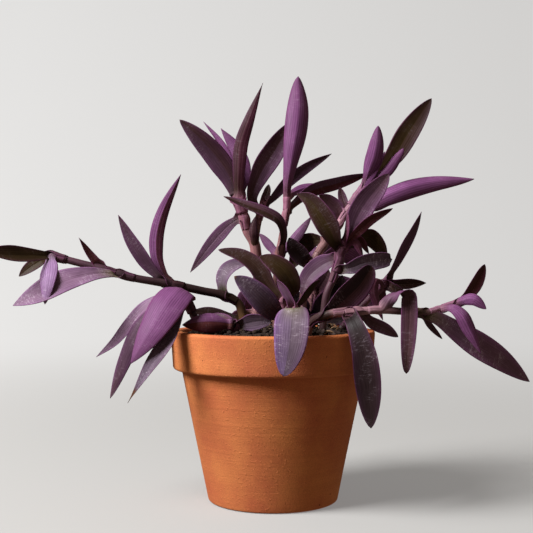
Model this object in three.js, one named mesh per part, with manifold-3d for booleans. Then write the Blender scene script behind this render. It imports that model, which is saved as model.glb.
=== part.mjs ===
// A potted purple-leaved tradescantia: leafy stems that stand in the soil of a terracotta pot.
// Millimetres, +Z up. The origin is on the surface that the pot stands on, at the pot's axis.
import * as THREE from "three";
import { mergeVertices } from "three/addons/utils/BufferGeometryUtils.js";
import Module from "manifold-3d";

const wasm = await Module();
wasm.setup();

// Pot, turned about +Z.
const POT_HEIGHT = 126;
const RIM_RADIUS = 76.3;
const RIM_HEIGHT = 28.5;
const RIM_TAPER = 1.8; // the rim band is this much narrower at its lower edge
const BODY_TOP_RADIUS = 68.3; // body, just under the rim band
const FOOT_RADIUS = 48.2;
const WALL = 6.5;
const FLOOR = 8;
const EDGE_ROUND = 2.2;
const DRAIN_RADIUS = 8;
const TURNED_SIDES = 40;

// Soil.
const SEAT_GAP = 0.35; // clearance where one piece rests on another
const SOIL_EDGE = 123; // height of the soil where it meets the pot
const SOIL_MOUND = 4; // and how much higher its middle is
const SOIL_LUMP = 0.9;
const ROOT_DEPTH = 16; // how far a stem reaches below the soil's edge
const STEM_GAP = 0.45; // clearance round a stem in the soil

// Stems and leaves.
const ROUTE_SAMPLES = 150; // places at which a leaf's foot can join a stem
const STEM_SIDES = 6;
const STEM_STEP = 11;
const NODE_SWELL = 0.1; // share by which a stem is thicker where a leaf clasps it
const NODE_LENGTH = 5;
const BLADE_THICK = 1.2;
const BLADE_STEP = 12;
const BLADE_SAMPLES = 60;
const NARROWEST = 1.2;
const FOOT = 0.42; // a blade's width at its foot, as a share of its widest
const WIDEST = 0.5; // where a blade is widest, as a share of its length
const TIP = 0.75; // 0.5 makes a round tip, 1 a pointed one, and more a drawn-out one
const FOLD = 16; // degrees that each half of a blade rises from flat
const WELD = 0.02;

// A point of a route is [across, back, up]. Across and up are where it is seen, from the viewpoint,
// against the upright plane through the pot's axis. Back is how far behind that plane it lies.
const VIEWPOINT = new THREE.Vector3(-4.8, -730, 173.4);
const TO_VIEWER = new THREE.Vector3(0, -1, 0);

function place([across, back, up]) {
  const seen = new THREE.Vector3(across, 0, up);
  return seen.sub(VIEWPOINT).multiplyScalar(1 - back / VIEWPOINT.y).add(VIEWPOINT);
}

// Each stem has a root, [x, y] in the soil, routes that it and its branches follow, and leaves.
// A leaf's line runs from its foot, which is drawn onto the nearest stem, to its tip. Wide is its
// greatest width, and turn is how many degrees its upper face is turned from the viewer.
const STEMS = [
  {
    name: "stem_long_left", // trails over the rim to the left
    root: [-20, 6],
    routes: [
      {
        thick: [3.4, 2.6],
        points: [
          [-22.5, 6, 136.5], [-26, 5, 146], [-38, 2, 152], [-52.5, -2, 155], [-76, -8, 160],
          [-105, -14, 165], [-127.5, -16, 171.5], [-153, -16, 178], [-167, -16, 181.5],
        ],
      },
    ],
    leaves: [
      {
        line: [[-35, 2, 153], [-37.5, 3, 163], [-33, 5, 171], [-25, 8, 175], [-16, 9, 175.5]],
        wide: 15, turn: -40, widest: 0.55,
      },
      {
        line: [[-80, -8, 158], [-91, -11, 172.5], [-104, -15, 191], [-116, -18, 212]],
        wide: 14, turn: -34, widest: 0.45, tip: 0.9,
      },
      {
        line: [
          [-77, -7, 160], [-86, -3, 177], [-87.5, 0, 189.5], [-86, 1, 202.5], [-81, 2, 218],
          [-69, 4, 242.5],
        ],
        wide: 11, turn: 190, fold: 13, widest: 0.4, tip: 0.9,
      },
      {
        line: [[-127.5, -16, 172], [-136.5, -17, 181.5], [-145.5, -20, 195]],
        wide: 7, turn: 30, foot: 0.9, widest: 0.2, tip: 1,
      },
      {
        line: [
          [-113, -14, 167], [-129.5, -27, 168], [-144.5, -36, 165.5], [-159.5, -42, 161],
          [-174.5, -46, 153.5], [-195, -48, 144],
        ],
        wide: 21, turn: 35, fold: 10, foot: 0.3, widest: 0.62, tip: 0.95,
      },
      {
        line: [[-165, -16, 181], [-168, -33, 173], [-169.5, -47, 160], [-171, -51, 145]],
        wide: 14, turn: 188, fold: 12, widest: 0.45, tip: 0.8,
      },
      {
        line: [[-163, -16, 181.5], [-179, -32, 181.5], [-198, -52, 182], [-215, -68, 184]],
        wide: 16, turn: 40, widest: 0.6,
      },
      { line: [[-166, -16, 181], [-180, -19, 174], [-190.5, -22, 166]], wide: 10, turn: 20, tip: 0.8 },
      { line: [[-22, 6, 132], [-36, 9, 135.5], [-49, 11, 139], [-62, 11, 139]], wide: 10, turn: 30 },
    ],
  },
  {
    name: "stem_short_left", // leans out over the left of the rim, with its leaves hanging
    root: [-42, -14],
    routes: [
      {
        thick: [3.2, 2.6],
        points: [
          [-52.5, -15, 129], [-58, -16, 134], [-62, -17, 142.5], [-67, -18, 150], [-72, -19, 154.5],
        ],
      },
    ],
    leaves: [
      {
        line: [
          [-66, -18, 149], [-69, -32, 156.5], [-77.5, -44, 148], [-92.5, -54, 124], [-106.5, -56, 100.5],
        ],
        wide: 27, turn: 202, fold: 12, foot: 0.8, widest: 0.37, tip: 0.9,
      },
      {
        line: [
          [-71, -19, 154], [-92, -21, 145], [-106.5, -22, 130], [-119, -22, 116], [-132.5, -22, 105.5],
        ],
        wide: 13, turn: 40, widest: 0.45, tip: 1,
      },
      {
        line: [[-71, -19, 154], [-88.5, -27, 141], [-101, -30, 126], [-112, -31, 102], [-122, -30, 74.5]],
        wide: 14, turn: 26, fold: -12, widest: 0.45, tip: 0.8,
      },
      {
        line: [[-65, -18, 147], [-71, -35, 138], [-80, -50, 116], [-93.5, -56, 96], [-109, -56, 71]],
        wide: 14, turn: 32, widest: 0.45, tip: 1.5,
      },
    ],
  },
  {
    name: "stem_rim_left", // a short shoot whose leaves lie along the rim
    root: [-30, -27],
    routes: [
      { thick: [2.8, 2.4], points: [[-30, -28, 124], [-28, -29, 128]] },
    ],
    leaves: [
      {
        line: [[-28, -28, 127.5], [-19, -32, 131], [-10.5, -36, 132.5], [-1, -38, 131.5]],
        wide: 14, turn: 15, tip: 0.8,
      },
      {
        line: [[-30, -28, 128.5], [-38, -36, 131], [-52, -40, 131.5], [-68, -38, 129.5]],
        wide: 16, turn: 16, fold: -24, foot: 0.25, widest: 0.5, tip: 0.9,
      },
      { line: [[-29, -28, 128], [-38, -16, 134], [-48, -10, 137]], wide: 9, turn: 30 },
    ],
  },
  {
    name: "stem_tall_left", // forks into two leafy tops
    root: [-6, 18],
    routes: [
      {
        thick: [5.8, 3.5],
        points: [
          [-8, 18, 148.5], [-12, 16, 177], [-14, 14, 191], [-19, 12, 200], [-22, 10, 211], [-24, 9, 218],
          [-25.5, 8, 222.5],
        ],
      },
      {
        thick: [2.6, 2.2],
        points: [
          [-13.5, 14, 189], [-12, 16, 200], [-10.5, 18, 209], [-8, 20, 218], [-7, 21, 223],
        ],
      },
    ],
    leaves: [
      {
        line: [[-25, 8, 221], [-33.5, 4, 241.5], [-45.5, 0, 258.5], [-58.5, -4, 272.5], [-70, -6, 283.5]],
        wide: 18, turn: -10, fold: -14, foot: 0.5, widest: 0.45, tip: 0.75,
      },
      { line: [[-25, 8, 223], [-30, 12, 245], [-37, 14, 262], [-52, 18, 282]], wide: 8, turn: 130, tip: 1 },
      {
        line: [[-25, 8, 224], [-22, 18, 242], [-27, 26, 259.5], [-39, 32, 277]],
        wide: 13, turn: 170, tip: 1,
      },
      {
        line: [[-25, 8, 222], [-25.5, 2, 244.5], [-24, 0, 264], [-18, -2, 283], [-7.5, 0, 311]],
        wide: 11, turn: 180, fold: 14, foot: 0.6, widest: 0.4, tip: 1.25,
      },
      {
        line: [[-22, 10, 211], [-32, 16, 205], [-42, 20, 195], [-52.5, 22, 182], [-62, 22, 169]],
        wide: 11, turn: 10, fold: 8, widest: 0.4, tip: 0.9,
      },
      {
        line: [[-10, 19, 213], [-15.5, 16, 224], [-9.5, 15, 243], [1.5, 14, 261], [14, 14, 282]],
        wide: 18, turn: 4, foot: 0.3, widest: 0.58, tip: 0.75,
      },
      { line: [[-7.5, 21, 221], [-5, 24, 227], [-3, 27, 235]], wide: 6, turn: 0 },
      {
        line: [[-8, 20, 217], [0, 28, 225], [11, 34, 237], [26, 38, 248], [44, 40, 258]],
        wide: 10, turn: 20, tip: 0.9,
      },
      {
        line: [[-13.5, 13, 188], [-15, 8, 196], [-15, 7, 203], [-13, 8, 211]],
        wide: 8, turn: 165, fold: 20, foot: 0.95, widest: 0.3, tip: 0.8,
      },
    ],
  },
  {
    name: "stem_low_middle", // low leaves that hide the tall stems' feet
    root: [8, -30],
    routes: [
      { thick: [3, 2.6], points: [[8, -30, 137], [8, -31, 149]] },
    ],
    leaves: [
      {
        line: [[8, -30, 146], [-4, -27, 159], [-13, -23, 173], [-24, -20, 181], [-41, -18, 186]],
        wide: 15, turn: 30, widest: 0.45, tip: 0.7,
      },
      {
        line: [[8, -31, 147], [14, -37, 156], [10, -40, 167], [1, -40, 175.5], [-10, -38, 181]],
        wide: 17, turn: 20, widest: 0.5, tip: 0.7,
      },
      {
        line: [[8, -30, 134], [0, -42, 140], [-8, -47, 149], [-19, -48, 159], [-29, -46, 166]],
        wide: 18, turn: 0, fold: 12, widest: 0.5, tip: 0.75,
      },
    ],
  },
  {
    name: "stem_front", // one broad leaf hangs over the front of the rim
    root: [16, -52],
    routes: [
      { thick: [3, 2.8], points: [[16.5, -54, 130], [16, -58, 137], [16, -60, 142]] },
    ],
    leaves: [
      {
        line: [[16, -59, 141], [15.5, -74, 140.5], [14.5, -84, 131], [13, -87, 114], [8, -85, 91]],
        wide: 24, turn: 12, fold: 8, foot: 0.45, widest: 0.46, tip: 0.6,
      },
      {
        line: [[15.5, -59, 142], [10.5, -60, 154], [3, -57, 163.5]],
        wide: 8, turn: -30, fold: 34, tip: 0.9,
      },
      {
        line: [[16, -58, 140], [23, -62, 151.5], [29, -61, 159], [35, -57, 163.5]],
        wide: 8, turn: 40, fold: 34,
      },
    ],
  },
  {
    name: "stem_tall_middle",
    root: [3, 0],
    routes: [
      {
        thick: [3.3, 2.2],
        points: [
          [2, -2, 148.5], [3, -4, 167], [4, -6, 181], [6, -6, 191], [8, -6, 202.5], [10, -5, 214.5],
          [11, -4, 226.5],
        ],
      },
    ],
    leaves: [
      {
        line: [
          [11, -4, 221], [11, -8, 234], [14, -10, 253.5], [18, -8, 277.5], [19.5, -4, 295.5],
          [19, 4, 316],
        ],
        wide: 21, turn: 186, fold: 32, foot: 0.28, widest: 0.62, tip: 0.66,
      },
      {
        line: [[10, -5, 213], [16, 3, 221], [28, 9, 230], [48, 15, 236], [72, 21, 243]],
        wide: 11, turn: 20, widest: 0.5, tip: 0.8,
      },
      { line: [[11, -4, 225], [22, 8, 231.5], [43, 20, 234]], wide: 9, turn: 160 },
      {
        line: [
          [4.5, -6, 184], [7.5, -13, 196.5], [4, -17, 208], [-6, -19, 214], [-19, -19, 219],
          [-37, -17, 226],
        ],
        wide: 9.5, turn: 30, foot: 0.8, widest: 0.5, tip: 0.8,
      },
      { line: [[5, -6, 181], [11, 2, 188], [19, 6, 198], [29, 10, 211]], wide: 9, turn: 150, tip: 0.9 },
      { line: [[4, -5, 181], [-4, 0, 190.5], [-10, 4, 198]], wide: 7, turn: 170 },
    ],
  },
  {
    name: "stem_tall_right", // leans to the right, with the longest upright leaves
    root: [22, 2],
    routes: [
      {
        thick: [3.3, 2.5],
        points: [
          [22.5, 2, 148.5], [27, 0, 168], [31, 0, 178.5], [38, 2, 190], [47.5, 4, 202], [55, 6, 214],
          [63, 8, 225], [69, 8, 234],
        ],
      },
    ],
    leaves: [
      {
        line: [[69, 8, 232], [72, 2, 245], [76, -2, 256.5], [78, -4, 268], [79, -4, 279]],
        wide: 15, turn: 175, fold: 32, foot: 0.35, widest: 0.5, tip: 0.7,
      },
      {
        line: [
          [69, 8, 233], [81, 11, 244.5], [91, 12, 256.5], [101, 11, 273], [110, 9, 286.5],
          [119, 6, 299.5],
        ],
        wide: 17.5, turn: -5, foot: 0.35, widest: 0.58, tip: 0.75,
      },
      {
        line: [[69, 8, 232], [84, 3, 245], [92, 1, 255], [98, 0, 262]],
        wide: 12, turn: 150, fold: 34, foot: 0.5, widest: 0.5, tip: 0.55,
      },
      { line: [[64, 8, 226], [73.5, 4, 242], [84, 4, 259.5]], wide: 7, turn: 150 },
      {
        line: [
          [65, 8, 227], [74, 3, 221], [85.5, 1, 226.5], [101, 1, 232.5], [121.5, 4, 237], [151, 8, 239],
        ],
        wide: 18.5, turn: 162, fold: 34, foot: 0.7, widest: 0.42, tip: 0.85,
      },
      { line: [[49, 4, 206], [49, 7, 214.5], [42, 6, 222], [34.5, 3, 227]], wide: 12, turn: 10 },
      { line: [[55, 6, 215], [52.5, 12, 223.5], [50, 14, 233]], wide: 7, turn: 0 },
      {
        line: [[37, 2, 191], [31, 9, 193.5], [22.5, 12, 189], [18, 13, 181], [13, 12, 171]],
        wide: 15, turn: 0, widest: 0.45,
      },
      {
        line: [[27, 1, 173], [22, -4, 180], [16, -6, 187], [12, -6, 195]],
        wide: 14, turn: 5, foot: 0.5, widest: 0.5,
      },
    ],
  },
  {
    name: "stem_inner_right", // a crown of leaves in front of the tall right stem
    root: [36, -22],
    routes: [
      {
        thick: [2.8, 2.6],
        points: [
          [40, -22, 151.5], [45, -22, 164], [49, -22, 175.5], [50, -22, 183], [52.5, -22, 188],
        ],
      },
    ],
    leaves: [
      {
        line: [
          [51, -22, 185], [46.5, -29, 192], [42, -32, 202.5], [35, -32, 214], [28, -30, 223],
          [18, -27, 228],
        ],
        wide: 17, turn: -10, foot: 0.35, widest: 0.45, tip: 0.8,
      },
      { line: [[52, -22, 186], [55, -30, 199], [56, -31, 214.5]], wide: 8, turn: 100 },
      {
        line: [
          [52, -22, 187], [58, -24, 197], [63, -24, 210], [70, -22, 222], [79, -20, 233], [87, -18, 243],
        ],
        wide: 18, turn: 2, foot: 0.4, widest: 0.5, tip: 0.65,
      },
      { line: [[52, -22, 186], [62, -30, 198], [73.5, -33, 208.5], [90, -33, 217]], wide: 8, turn: 20 },
      {
        line: [[52, -22, 186], [64, -13, 193.5], [72, -9, 196], [79.5, -8, 189], [85, -8, 177]],
        wide: 14, turn: 30, widest: 0.5,
      },
      { line: [[52, -22, 187], [61, -27, 192], [67.5, -27, 181]], wide: 6, turn: 160 },
      { line: [[52, -22, 187], [64, -18, 194], [72, -17, 183]], wide: 6, turn: 20 },
      {
        line: [[48, -22, 170], [58, -28, 172.5], [67.5, -31, 176], [77, -31, 178], [88.5, -29, 179]],
        wide: 14, turn: 20, widest: 0.6, tip: 0.2,
      },
      {
        line: [[49, -22, 178], [41, -16, 176.5], [33, -14, 171.5], [26, -14, 164], [22, -15, 152]],
        wide: 16, turn: 28, widest: 0.4, tip: 0.6,
      },
    ],
  },
  {
    name: "stem_back_right",
    root: [52, 18],
    routes: [
      {
        thick: [2.8, 2.4],
        points: [
          [58, 17, 134], [66, 14, 143], [74, 11, 151], [80, 8, 157.5], [86, 6, 164],
        ],
      },
    ],
    leaves: [
      {
        line: [[85, 6, 163], [92, 4, 175], [99, 2, 189], [106, 2, 202], [111.5, 4, 214.5]],
        wide: 9, turn: 30, tip: 1,
      },
      { line: [[83, 7, 161], [97, 5, 160.5], [106, 4, 161], [115, 4, 161]], wide: 9, turn: 20, tip: 0.9 },
      { line: [[83, 7, 161], [90, 2, 157.5], [99, 0, 153.5]], wide: 8, turn: 20 },
      {
        line: [[82, 8, 159], [78, 0, 163], [76, -6, 154.5], [79, -10, 144], [82.5, -12, 133]],
        wide: 9, turn: 150, tip: 0.9,
      },
      { line: [[83, 7, 160], [80, 14, 154], [84, 18, 145]], wide: 10, turn: 10 },
      { line: [[60, 17, 134], [50, 21, 134], [38, 23, 134], [27, 23, 136]], wide: 12, turn: 20, foot: 0.4 },
    ],
  },
  {
    name: "stem_long_right", // trails over the rim to the right
    root: [24, -42],
    routes: [
      {
        thick: [3.2, 2.2],
        points: [
          [28.5, -43, 130.5], [35, -46, 135], [46, -48, 138.5], [56, -49, 139], [67.5, -49, 140],
          [79, -48, 141], [94, -44, 140], [106.5, -39, 139], [118, -33, 139.5], [129, -27, 143],
          [138, -22, 145.5],
        ],
      },
    ],
    leaves: [
      {
        line: [[36, -45, 136], [46, -42, 142.5], [55.5, -42, 151], [65, -43, 160.5], [74, -43, 174]],
        wide: 21, turn: 22, foot: 0.45, widest: 0.5, tip: 0.42,
      },
      {
        line: [
          [56, -49, 139], [60, -60, 133], [64.5, -66, 122], [69, -68, 106.5], [72, -69, 81],
          [73.5, -70, 52],
        ],
        wide: 19, turn: 20, fold: 8, foot: 0.55, widest: 0.6, tip: 0.7,
      },
      { line: [[65, -49, 140], [74, -45, 132], [85, -43, 126.5], [94, -41, 120.5]], wide: 10, turn: 20 },
      {
        line: [
          [82, -48, 141], [90, -50, 151], [96, -51, 154.5], [101.5, -50, 153], [102.5, -49, 144],
          [102, -49, 124.5], [100, -49, 93],
        ],
        wide: 12, turn: 14, fold: 14, foot: 0.7, widest: 0.5, tip: 0.5,
      },
      {
        line: [
          [110, -37, 138.5], [122, -34, 135], [136, -29, 125.5], [154, -22, 114], [173, -12, 102],
          [192.5, 0, 87],
        ],
        wide: 21, turn: -22, fold: 9, foot: 0.4, widest: 0.5, tip: 0.85,
      },
      {
        line: [[125, -29, 141.5], [134, -36, 143], [142, -39, 137], [148, -38, 126], [156, -35, 108]],
        wide: 12, turn: 170, fold: 26, tip: 1.1,
      },
      {
        line: [[134, -25, 144.5], [144, -20, 150], [152, -16, 160.5], [159, -12, 175]],
        wide: 11, turn: 20, widest: 0.6, tip: 0.7,
      },
      {
        line: [[136, -24, 145], [145, -26, 148.5], [151, -28, 148.5], [160, -28, 141.5]],
        wide: 9, turn: 170,
      },
      { line: [[110, -37, 138.5], [119, -28, 128], [127, -24, 119]], wide: 5, turn: 30 },
    ],
  },
  {
    name: "stem_back_left", // short shoots behind, out of sight from the front
    root: [-14, 42],
    routes: [
      { thick: [2.8, 2.4], points: [[-14, 45, 130], [-12, 50, 142], [-10, 56, 150]] },
    ],
    leaves: [
      {
        line: [[-10, 56, 149], [-8, 68, 158], [-6, 80, 158], [-4, 91, 144]],
        wide: 18, turn: 170, foot: 0.4, widest: 0.5,
      },
      {
        line: [[-11, 54, 147], [-16, 66, 153], [-20, 78, 147], [-23, 87, 130]],
        wide: 17, turn: 160, foot: 0.4, widest: 0.5,
      },
      {
        line: [[-12, 50, 143], [-4, 62, 147], [6, 74, 143], [12, 85, 130]],
        wide: 16, turn: 200, foot: 0.4, widest: 0.5,
      },
      {
        line: [[-13, 47, 137], [-20, 57, 139], [-26, 68, 134], [-30, 78, 120]],
        wide: 14, turn: 150, foot: 0.4, widest: 0.5,
      },
      {
        line: [[-13.5, 46, 134], [-5, 40, 135], [5, 38, 136], [15, 38, 137]],
        wide: 12, turn: 15, foot: 0.4,
      },
    ],
  },
  {
    name: "stem_back_middle",
    root: [26, 40],
    routes: [
      { thick: [3, 2.4], points: [[27, 44, 132], [30, 50, 150], [34, 54, 168], [37, 56, 181]] },
    ],
    leaves: [
      {
        line: [[37, 56, 180], [41, 66, 191], [46, 78, 192], [51, 88, 180]],
        wide: 18, turn: 190, foot: 0.4, widest: 0.5,
      },
      {
        line: [[36, 55, 176], [47, 64, 184], [60, 74, 180], [70, 82, 166]],
        wide: 17, turn: 200, foot: 0.4, widest: 0.5,
      },
      {
        line: [[36, 55, 174], [28, 62, 184], [21, 72, 188], [16, 82, 184]],
        wide: 15, turn: 165, foot: 0.4, widest: 0.5,
      },
      {
        line: [[31, 51, 154], [40, 62, 154], [50, 76, 142], [54, 84, 122], [55, 86, 98]],
        wide: 18, turn: 185, foot: 0.4, widest: 0.5,
      },
      {
        line: [[30, 48, 146], [26, 62, 150], [23, 76, 142], [22, 86, 120]],
        wide: 16, turn: 175, foot: 0.4, widest: 0.5,
      },
      {
        line: [[33, 53, 164], [46, 58, 162], [62, 64, 154], [76, 68, 140]],
        wide: 16, turn: 190, foot: 0.4, widest: 0.5,
      },
      {
        line: [[27, 44, 135], [34, 40, 137], [43, 34, 146], [50, 28, 157], [52, 25, 167]],
        wide: 24, turn: 0, foot: 0.35, widest: 0.4,
      },
      {
        line: [[27, 45, 134], [21, 39, 138], [14, 34, 149], [8, 30, 160]],
        wide: 22, turn: 0, foot: 0.35, widest: 0.4,
      },
      { line: [[31, 51, 154], [35, 46, 158], [39, 42, 164], [42, 40, 171]], wide: 11, turn: 0 },
    ],
  },
];

// A closed geometry as a solid, and a solid as a geometry. Joins leave some corners a hair apart: they
// are merged there, and the triangles that this collapses are dropped.
function solidOf(geometry) {
  const loose = geometry.index ? geometry.toNonIndexed() : geometry;
  const bare = new THREE.BufferGeometry().setAttribute("position", loose.getAttribute("position"));
  const merged = mergeVertices(bare, 1e-4);
  const vertProperties = merged.getAttribute("position").array;
  return new wasm.Manifold(
    new wasm.Mesh({ numProp: 3, vertProperties, triVerts: new Uint32Array(merged.index.array) }),
  );
}

function geometryOf(solid) {
  const mesh = solid.getMesh();
  const joined = new THREE.BufferGeometry();
  joined.setAttribute("position", new THREE.BufferAttribute(mesh.vertProperties, 3));
  joined.setIndex(new THREE.BufferAttribute(mesh.triVerts, 1));
  const geometry = mergeVertices(joined, WELD);
  const corners = geometry.index.array;
  const kept = [];
  for (let i = 0; i < corners.length; i += 3) {
    const [a, b, c] = corners.subarray(i, i + 3);
    if (a !== b && b !== c && c !== a) kept.push(a, b, c);
  }
  geometry.setIndex(kept);
  geometry.computeVertexNormals();
  return geometry;
}

// Points of an arc in the turned section, from one angle to another, in degrees.
function roundEdge(radius, height, size, from, to) {
  return [from, (from + to) / 2, to].map((degrees) => {
    const angle = THREE.MathUtils.degToRad(degrees);
    return new THREE.Vector2(radius + size * Math.cos(angle), height + size * Math.sin(angle));
  });
}

// A section, turned about +Z. The section runs anticlockwise, with its last point on its first.
function turned(section) {
  return new THREE.LatheGeometry([...section, section[0].clone()], TURNED_SIDES).rotateX(Math.PI / 2);
}

const rimFoot = POT_HEIGHT - RIM_HEIGHT;
const bodySlope = (BODY_TOP_RADIUS - FOOT_RADIUS) / rimFoot;
const innerRadius = (height) => FOOT_RADIUS + bodySlope * height - WALL;

function potGeometry() {
  const lip = EDGE_ROUND;
  return turned([
    new THREE.Vector2(DRAIN_RADIUS, 0),
    new THREE.Vector2(FOOT_RADIUS - 1, 0),
    new THREE.Vector2(FOOT_RADIUS + bodySlope, 1),
    new THREE.Vector2(BODY_TOP_RADIUS, rimFoot),
    ...roundEdge(RIM_RADIUS - RIM_TAPER - lip, rimFoot + lip, lip, -90, 0),
    ...roundEdge(RIM_RADIUS - lip, POT_HEIGHT - lip, lip, 0, 90),
    ...roundEdge(innerRadius(POT_HEIGHT) + lip, POT_HEIGHT - lip, lip, 90, 180),
    new THREE.Vector2(innerRadius(FLOOR), FLOOR),
    new THREE.Vector2(DRAIN_RADIUS, FLOOR),
  ]);
}

// Soil fills the pot to just under the rim, and its top is a low lumpy mound.
function soilGeometry() {
  const foot = FLOOR + SEAT_GAP;
  const edge = innerRadius(SOIL_EDGE) - SEAT_GAP;
  const rings = [0.82, 0.62, 0.4, 0.2];
  const mound = rings.map((share) => {
    return new THREE.Vector2(edge * share, SOIL_EDGE + SOIL_MOUND * (1 - share ** 2));
  });
  const profile = [
    new THREE.Vector2(0, foot),
    new THREE.Vector2(innerRadius(foot) - SEAT_GAP, foot),
    new THREE.Vector2(edge, SOIL_EDGE),
    ...mound,
    new THREE.Vector2(0, SOIL_EDGE + SOIL_MOUND),
  ];
  const geometry = new THREE.LatheGeometry(profile, TURNED_SIDES).rotateX(Math.PI / 2);
  const position = geometry.getAttribute("position");
  for (let i = 0; i < position.count; i += 1) {
    const [x, y, z] = [position.getX(i), position.getY(i), position.getZ(i)];
    const lump = Math.sin(x * 0.31 + 1) * Math.cos(y * 0.27) + Math.sin((x - y) * 0.53) * 0.6;
    if (z > SOIL_EDGE) position.setZ(i, z + SOIL_LUMP * lump);
  }
  return geometry;
}

// A stem's routes as curves. A root goes straight down into the soil.
function curvesOf(stem) {
  const [x, y] = stem.root;
  const root = [SOIL_EDGE - ROOT_DEPTH, SOIL_EDGE + 1].map((z) => new THREE.Vector3(x, y, z));
  return stem.routes.map(
    ({ points }, i) => new THREE.CatmullRomCurve3([...(i === 0 ? root : []), ...points.map(place)]),
  );
}

// The point nearest to a given one on any of the curves, with where it is along its curve.
function nearestOn(curves, point) {
  const found = curves.flatMap((curve, route) =>
    curve
      .getSpacedPoints(ROUTE_SAMPLES)
      .map((at, i) => ({ at, route, share: i / ROUTE_SAMPLES, gap: at.distanceTo(point) })),
  );
  return found.reduce((best, next) => (next.gap < best.gap ? next : best));
}

// A tube along a curve. Its radius at each step comes from radiusAt(share of the length).
function tube(curve, radiusAt) {
  const steps = Math.max(3, Math.round(curve.getLength() / STEM_STEP));
  const corners = Array.from({ length: STEM_SIDES }, (_, i) => {
    const angle = (2 * Math.PI * i) / STEM_SIDES;
    return new THREE.Vector2(Math.cos(angle), Math.sin(angle));
  });
  const geometry = new THREE.ExtrudeGeometry(new THREE.Shape(corners), { steps, extrudePath: curve });
  const stations = curve.getSpacedPoints(steps);
  const position = geometry.getAttribute("position");
  for (let i = 0; i < position.count; i += 1) {
    const vertex = new THREE.Vector3().fromBufferAttribute(position, i);
    const gaps = stations.map((station) => station.distanceTo(vertex));
    const at = gaps.indexOf(Math.min(...gaps));
    vertex.sub(stations[at]).multiplyScalar(radiusAt(at / steps)).add(stations[at]);
    position.setXYZ(i, ...vertex);
  }
  return geometry;
}

// The stem tapers, and is a little thicker at each leaf that clasps it.
function radiusAlong(curve, [first, last], clasps, extra = 0) {
  const length = curve.getLength();
  return (share) => {
    const nearest = Math.min(length, ...clasps.map((clasp) => Math.abs(clasp - share) * length));
    const swell = 1 + NODE_SWELL * Math.exp(-((nearest / NODE_LENGTH) ** 2));
    return THREE.MathUtils.lerp(first, last, share) * swell + extra;
  };
}

// The frames along a blade: its line's points and tangents, and its side, carried without spin from the
// middle, where it lies square to the line of sight.
function framesAlong(curve) {
  const points = curve.getSpacedPoints(BLADE_SAMPLES);
  const tangents = points.map((_, i) => curve.getTangentAt(i / BLADE_SAMPLES));
  const sides = [];
  const middle = BLADE_SAMPLES / 2;
  sides[middle] = tangents[middle].clone().cross(TO_VIEWER).normalize();
  const carry = (from, to) => {
    sides[to] = sides[from].clone().addScaledVector(tangents[to], -sides[from].dot(tangents[to])).normalize();
  };
  for (let i = middle; i < BLADE_SAMPLES; i += 1) carry(i, i + 1);
  for (let i = middle; i > 0; i -= 1) carry(i, i - 1);
  return { points, tangents, sides };
}

// A blade widens from its foot to where it is widest, and narrows from there to its tip.
function widthAt(share, { wide, foot = FOOT, widest = WIDEST, tip = TIP }) {
  const { lerp, smoothstep } = THREE.MathUtils;
  const past = Math.max(0, (share - widest) / (1 - widest));
  return Math.max(NARROWEST, wide * lerp(foot, 1, smoothstep(share, 0, widest)) * (1 - past ** 2) ** tip);
}

// A channelled blade: two halves that rise from the midrib. Both faces are the same grid of triangles,
// half the thickness above and below the middle surface, joined round the margin.
function blade(curve, leaf) {
  const steps = THREE.MathUtils.clamp(Math.round(curve.getLength() / BLADE_STEP), 4, 9);
  const frames = framesAlong(curve);
  const rise = THREE.MathUtils.degToRad(leaf.fold ?? FOLD);
  const turn = THREE.MathUtils.degToRad(leaf.turn);
  const upper = [];
  const lower = [];
  for (let i = 0; i <= steps; i += 1) {
    const share = i / steps;
    const at = Math.round(share * BLADE_SAMPLES);
    const tangent = frames.tangents[at];
    const normal = frames.sides[at].clone().cross(tangent).applyAxisAngle(tangent, turn);
    const side = tangent.clone().cross(normal);
    const half = widthAt(share, leaf) / 2;
    for (const column of [-1, 0, 1]) {
      const tilt = rise * column;
      const face = normal.clone().multiplyScalar(Math.cos(tilt)).addScaledVector(side, -Math.sin(tilt));
      const point = frames.points[at].clone();
      point.addScaledVector(side, column * half * Math.cos(rise));
      point.addScaledVector(normal, Math.abs(column) * half * Math.sin(rise));
      upper.push(point.clone().addScaledVector(face, BLADE_THICK / 2));
      lower.push(point.clone().addScaledVector(face, -BLADE_THICK / 2));
    }
  }
  const columns = 3;
  const offset = upper.length;
  const index = [];
  const quad = (a, b, c, d) => index.push(a, b, c, a, c, d);
  for (let i = 0; i < steps; i += 1) {
    for (let j = 0; j < columns - 1; j += 1) {
      const a = i * columns + j;
      const [b, c, d] = [a + 1, a + 1 + columns, a + columns];
      quad(a, b, c, d);
      index.push(offset + a, offset + c, offset + b, offset + a, offset + d, offset + c);
    }
  }
  const along = (column) => Array.from({ length: steps + 1 }, (_, i) => i * columns + column);
  const tip = steps * columns;
  const margin = [...along(0).reverse(), 1, ...along(columns - 1), tip + 1];
  margin.forEach((from, i) => {
    const to = margin[(i + 1) % margin.length];
    quad(from, offset + from, offset + to, to);
  });
  const geometry = new THREE.BufferGeometry().setFromPoints([...upper, ...lower]);
  geometry.setIndex(index);
  return geometry;
}

function leafyStem(stem) {
  const curves = curvesOf(stem);
  const clasps = curves.map(() => []);
  const blades = stem.leaves.map((leaf) => {
    const points = leaf.line.map(place);
    const foot = nearestOn(curves, points[0]);
    clasps[foot.route].push(foot.share);
    points[0] = foot.at;
    return blade(new THREE.CatmullRomCurve3(points), leaf);
  });
  const tubes = curves.map((curve, i) => tube(curve, radiusAlong(curve, stem.routes[i].thick, clasps[i])));
  return [...tubes, ...blades].map(solidOf).reduce((whole, piece) => whole.add(piece));
}

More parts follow.
